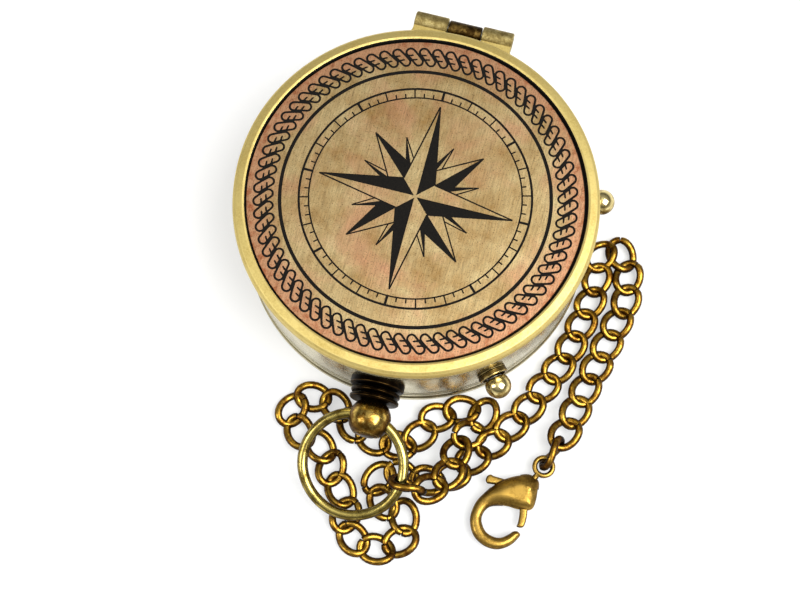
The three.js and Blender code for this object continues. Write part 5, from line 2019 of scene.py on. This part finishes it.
@dataclass
class Works:
    """What the lid covers: bowl, dial card, spacer, glass, retaining ring, and the needle on its point."""

    inner: float = 20.98
    card_low: float = 8.82
    card_top: float = 9.22
    card_print: float = 20.4
    card_hole: float = 1.2
    spacer_low: float = 9.34
    spacer_top: float = 13.54
    spacer_inner: float = 20.08
    glass_low: float = 13.66
    glass_top: float = 14.66
    glass_bevel: float = 0.12
    retainer_inner: float = 20.18
    retainer_low: float = 14.78
    retainer_top: float = 15.28
    degrees_out: float = 19.7
    degrees_in: float = 18.0
    point: float = 12.4
    blade_low: float = 11.8
    blade_top: float = 12.1
    half_length: float = 18.5

    def dress(self) -> None:
        """Gives the carried-over CAD nodes their finishes."""
        finishes: dict[Finish, tuple[str, ...]] = {
            Finishes.aged: ("works_bowl", "lid_catch_hook", "arrest_bracket"),
            Finishes.knuckle: ("pendant_nut", "release_catch", "arrest_lever"),
            Finishes.steel: ("arrest_pivot_pin",),
        }
        for finish, names in finishes.items():
            for name in names:
                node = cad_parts[name]
                node.data.materials.clear()
                node.data.materials.append(finish.material())
                log.info("%s: carried over, %s", name, finish.name)

    def print_lines(self) -> list[Groove]:
        """Draws the card's printed lines: a degree ring, and an eight-point star in its middle.

        Returns:
            Its grooves.
        """
        circles = ((self.degrees_out, 0.3), (self.degrees_in, 0.14), (10.2, 0.16), (9.6, 0.1))
        lines = [band(circle(r), width, True) for r, width in circles]
        for i in range(180):
            reach = self.degrees_in if i % 5 == 0 else 18.9
            width = 0.26 if i % 15 == 0 else 0.13
            lines.append(band([polar(reach, 2 * i), polar(self.degrees_out, 2 * i)], width))
        for k in range(8):
            a = 45 * k
            tip = polar(9.3 if k % 2 == 0 else 6.6, a)
            left, right = (polar(2.9, a + 22.5 * side) for side in (1, -1))
            lines += [band([tip, left], 0.12), [[polar(1.3, a + 12), left, tip, polar(1.4, a + 1)]]]
            lines.append(band([tip, right], 0.12))
        return lines

    def card(self) -> bpy.types.Object:
        """Prints the dial card, which has a hole for the pivot.

        Returns:
            The piece.
        """
        top, wide, rim, ease = self.card_top, self.inner, self.card_print, 0.08
        levels = ((rim, top), (wide - ease, top), (wide, top - ease), (wide, self.card_low))
        shape = Shape().rows([ring(*level) for level in (*levels, (self.card_hole, self.card_low))])
        engrave(shape, [p[:2] for p in ring(rim, 0)], self.print_lines(), top, 0.01)
        finish, ink = Finishes.card, Finishes.ink
        return make_piece("dial_printed_card", shape, "case", finish, ["dial_card"], 25, False, ink, 2e-4)

    def figure(self, text: str, bearing: float, radius: float, size: float) -> bpy.types.Mesh:
        """Sets one figure of the card.

        Args:
            text: what it says.
            bearing: where it stands, in degrees.
            radius: how far out it stands.
            size: its height.

        Returns:
            Its mesh, in metres.
        """
        curve = bpy.data.curves.new("figure", "FONT")
        curve.body, curve.size, curve.resolution_u = text, size, 4
        curve.align_x = curve.align_y = "CENTER"
        carrier = bpy.data.objects.new("figure", curve)
        bpy.context.scene.collection.objects.link(carrier)
        bpy.context.view_layer.update()
        flat = bpy.data.meshes.new_from_object(carrier.evaluated_get(bpy.context.evaluated_depsgraph_get()))
        bpy.data.objects.remove(carrier)
        place = Matrix.Translation((*polar(radius, bearing), self.card_top + 0.012))
        flat.transform(Matrix.Scale(MM, 4) @ place @ Matrix.Rotation(-math.radians(bearing), 4, "Z"))
        return flat

    def numerals(self) -> None:
        """Prints the four letters and the degree figures, as thin ink on the card."""
        marks = [(name, 90.0 * i, 12.3, 2.9) for i, name in enumerate("NESW")]
        marks += [(str(a), float(a), 16.3, 1.5) for a in range(0, 360, 30)]
        for piece, chosen, finish in (
            ("dial_letters_black", marks[1:], Finishes.ink),
            ("dial_letter_red", marks[:1], Finishes.red_ink),
        ):
            data = merge(piece, [self.figure(*mark) for mark in chosen])
            make_piece(piece, data, "case", finish, [], 30, False)

    def rings(self) -> None:
        """Turns the spacer, the glass and the ring that keeps it."""
        wide, seat, keep = self.inner, self.spacer_inner, self.retainer_inner
        low, high, eased, ease = self.glass_low, self.glass_top, wide - self.glass_bevel, self.glass_bevel
        spacer: list[tuple[float, ...]] = [(seat, self.spacer_low, 0.1), (wide, self.spacer_low)]
        spacer += [(wide, self.spacer_top), (seat, self.spacer_top, 0.2)]
        pane = [(0, low), (eased, low), (wide, low + ease), (wide, high - ease), (eased, high), (0, high)]
        keeper = [(keep, self.retainer_low, 0.1), (wide, self.retainer_low), (wide, self.retainer_top, 0.1)]
        keeper += [(keep + 0.15, self.retainer_top, 0.18), (keep, 15.05, 0.15)]
        for name, profile, finish, node, sharp, rubbed in (
            ("glass_seat_ring", spacer, Finishes.aged, "glass_spacer_ring", 32, True),
            ("glass_pane", pane, Finishes.glass, "glass", 25, False),
            ("glass_keeper_ring", keeper, Finishes.polished, "glass_retaining_ring", 32, True),
        ):
            shape = Shape().lathe(rounded(profile), Steps.GLASS)
            make_piece(name, shape, "case", finish, [node], sharp, rubbed)

    def needle(self) -> None:
        """Makes the post, the cap and the two halves of the needle."""
        post = [(0, 8.05), (0.5, 8.05), (0.5, 8.75), (1.0, 8.75), (1.0, 9.35), (0.85, 9.5), (0.5, 9.55)]
        post += [(0.5, 11.1), (0.32, 11.6), (0.0, self.point)]
        shape = Shape().lathe(rounded(post), Steps.PIN)
        make_piece("pivot_pointed_post", shape, "case", Finishes.steel, ["pivot_post"])
        cap = [(0.85, 11.5), (2.6, 11.5, 0.05), (2.7, 11.62, 0.05), (2.6, 11.75, 0.05), (1.6, 11.75)]
        cap += [(1.6, 12.5, 0.1), (1.2, 12.85, 0.3), (0.5, 13.0, 0.3), (0, 13.0), (0, 12.52)]
        shape = Shape().lathe(rounded(cap, True, 4), Steps.CAP)
        make_piece("needle_turned_cap", shape, "needle", Finishes.polished, ["needle_cap"])
        mirror = lambda side: side + [(-x, y) for x, y in side[::-1] if x]
        tip = self.half_length
        north = mirror([(2.5, 0.0), (2.5, 1.4), (0.68, 3.2), (0.68, 8.5), (1.7, 9.62), (0.0, tip)])
        south = mirror([(-2.5, 0.0), (-2.5, -1.4), (-0.68, -3.2), (-0.68, -tip)])
        for name, outline, finish, nodes in (
            ("needle_north_half", north, Finishes.blued, ["needle_blade"]),
            ("needle_south_half", south, Finishes.silvered, []),
        ):
            shape = Shape().plate(outline, self.blade_low, self.blade_top, 0.06)
            make_piece(name, shape, "needle", finish, nodes, 28)

    def build(self) -> None:
        """Builds what the lid covers."""
        self.card()
        self.numerals()
        self.rings()
        self.needle()
        self.dress()


def main() -> None:
    """Builds the studio and every sub-assembly, in order, and reports each."""
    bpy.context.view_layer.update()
    Studio().build()
    chain = Chain()
    near, links, middle = chain.build()
    clasp = Clasp().build(middle[-1])
    path = [tuple(p * MM) for p in middle]
    length = sum((Vector(b) - Vector(a)).length for a, b in zip(path, path[1:]))
    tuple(path[0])
    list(clasp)
    log.info("chain: %d links lie still over %.0f mm", len(path), length / MM)
    Case().build()
    Lid().build()
    Hinge().build()
    Pendant().build()
    Bow().build()
    Stud("release", -50.0, "release_button", ((0.0, 22.9), (0.7, 22.9))).build()
    Stud("arrest", 20.5, "arrest_button", ((0.0, 24.0), (0.15, 24.0), (0.7, 25.2))).build()
    Works().build()


if __name__ == "__main__":
    main()
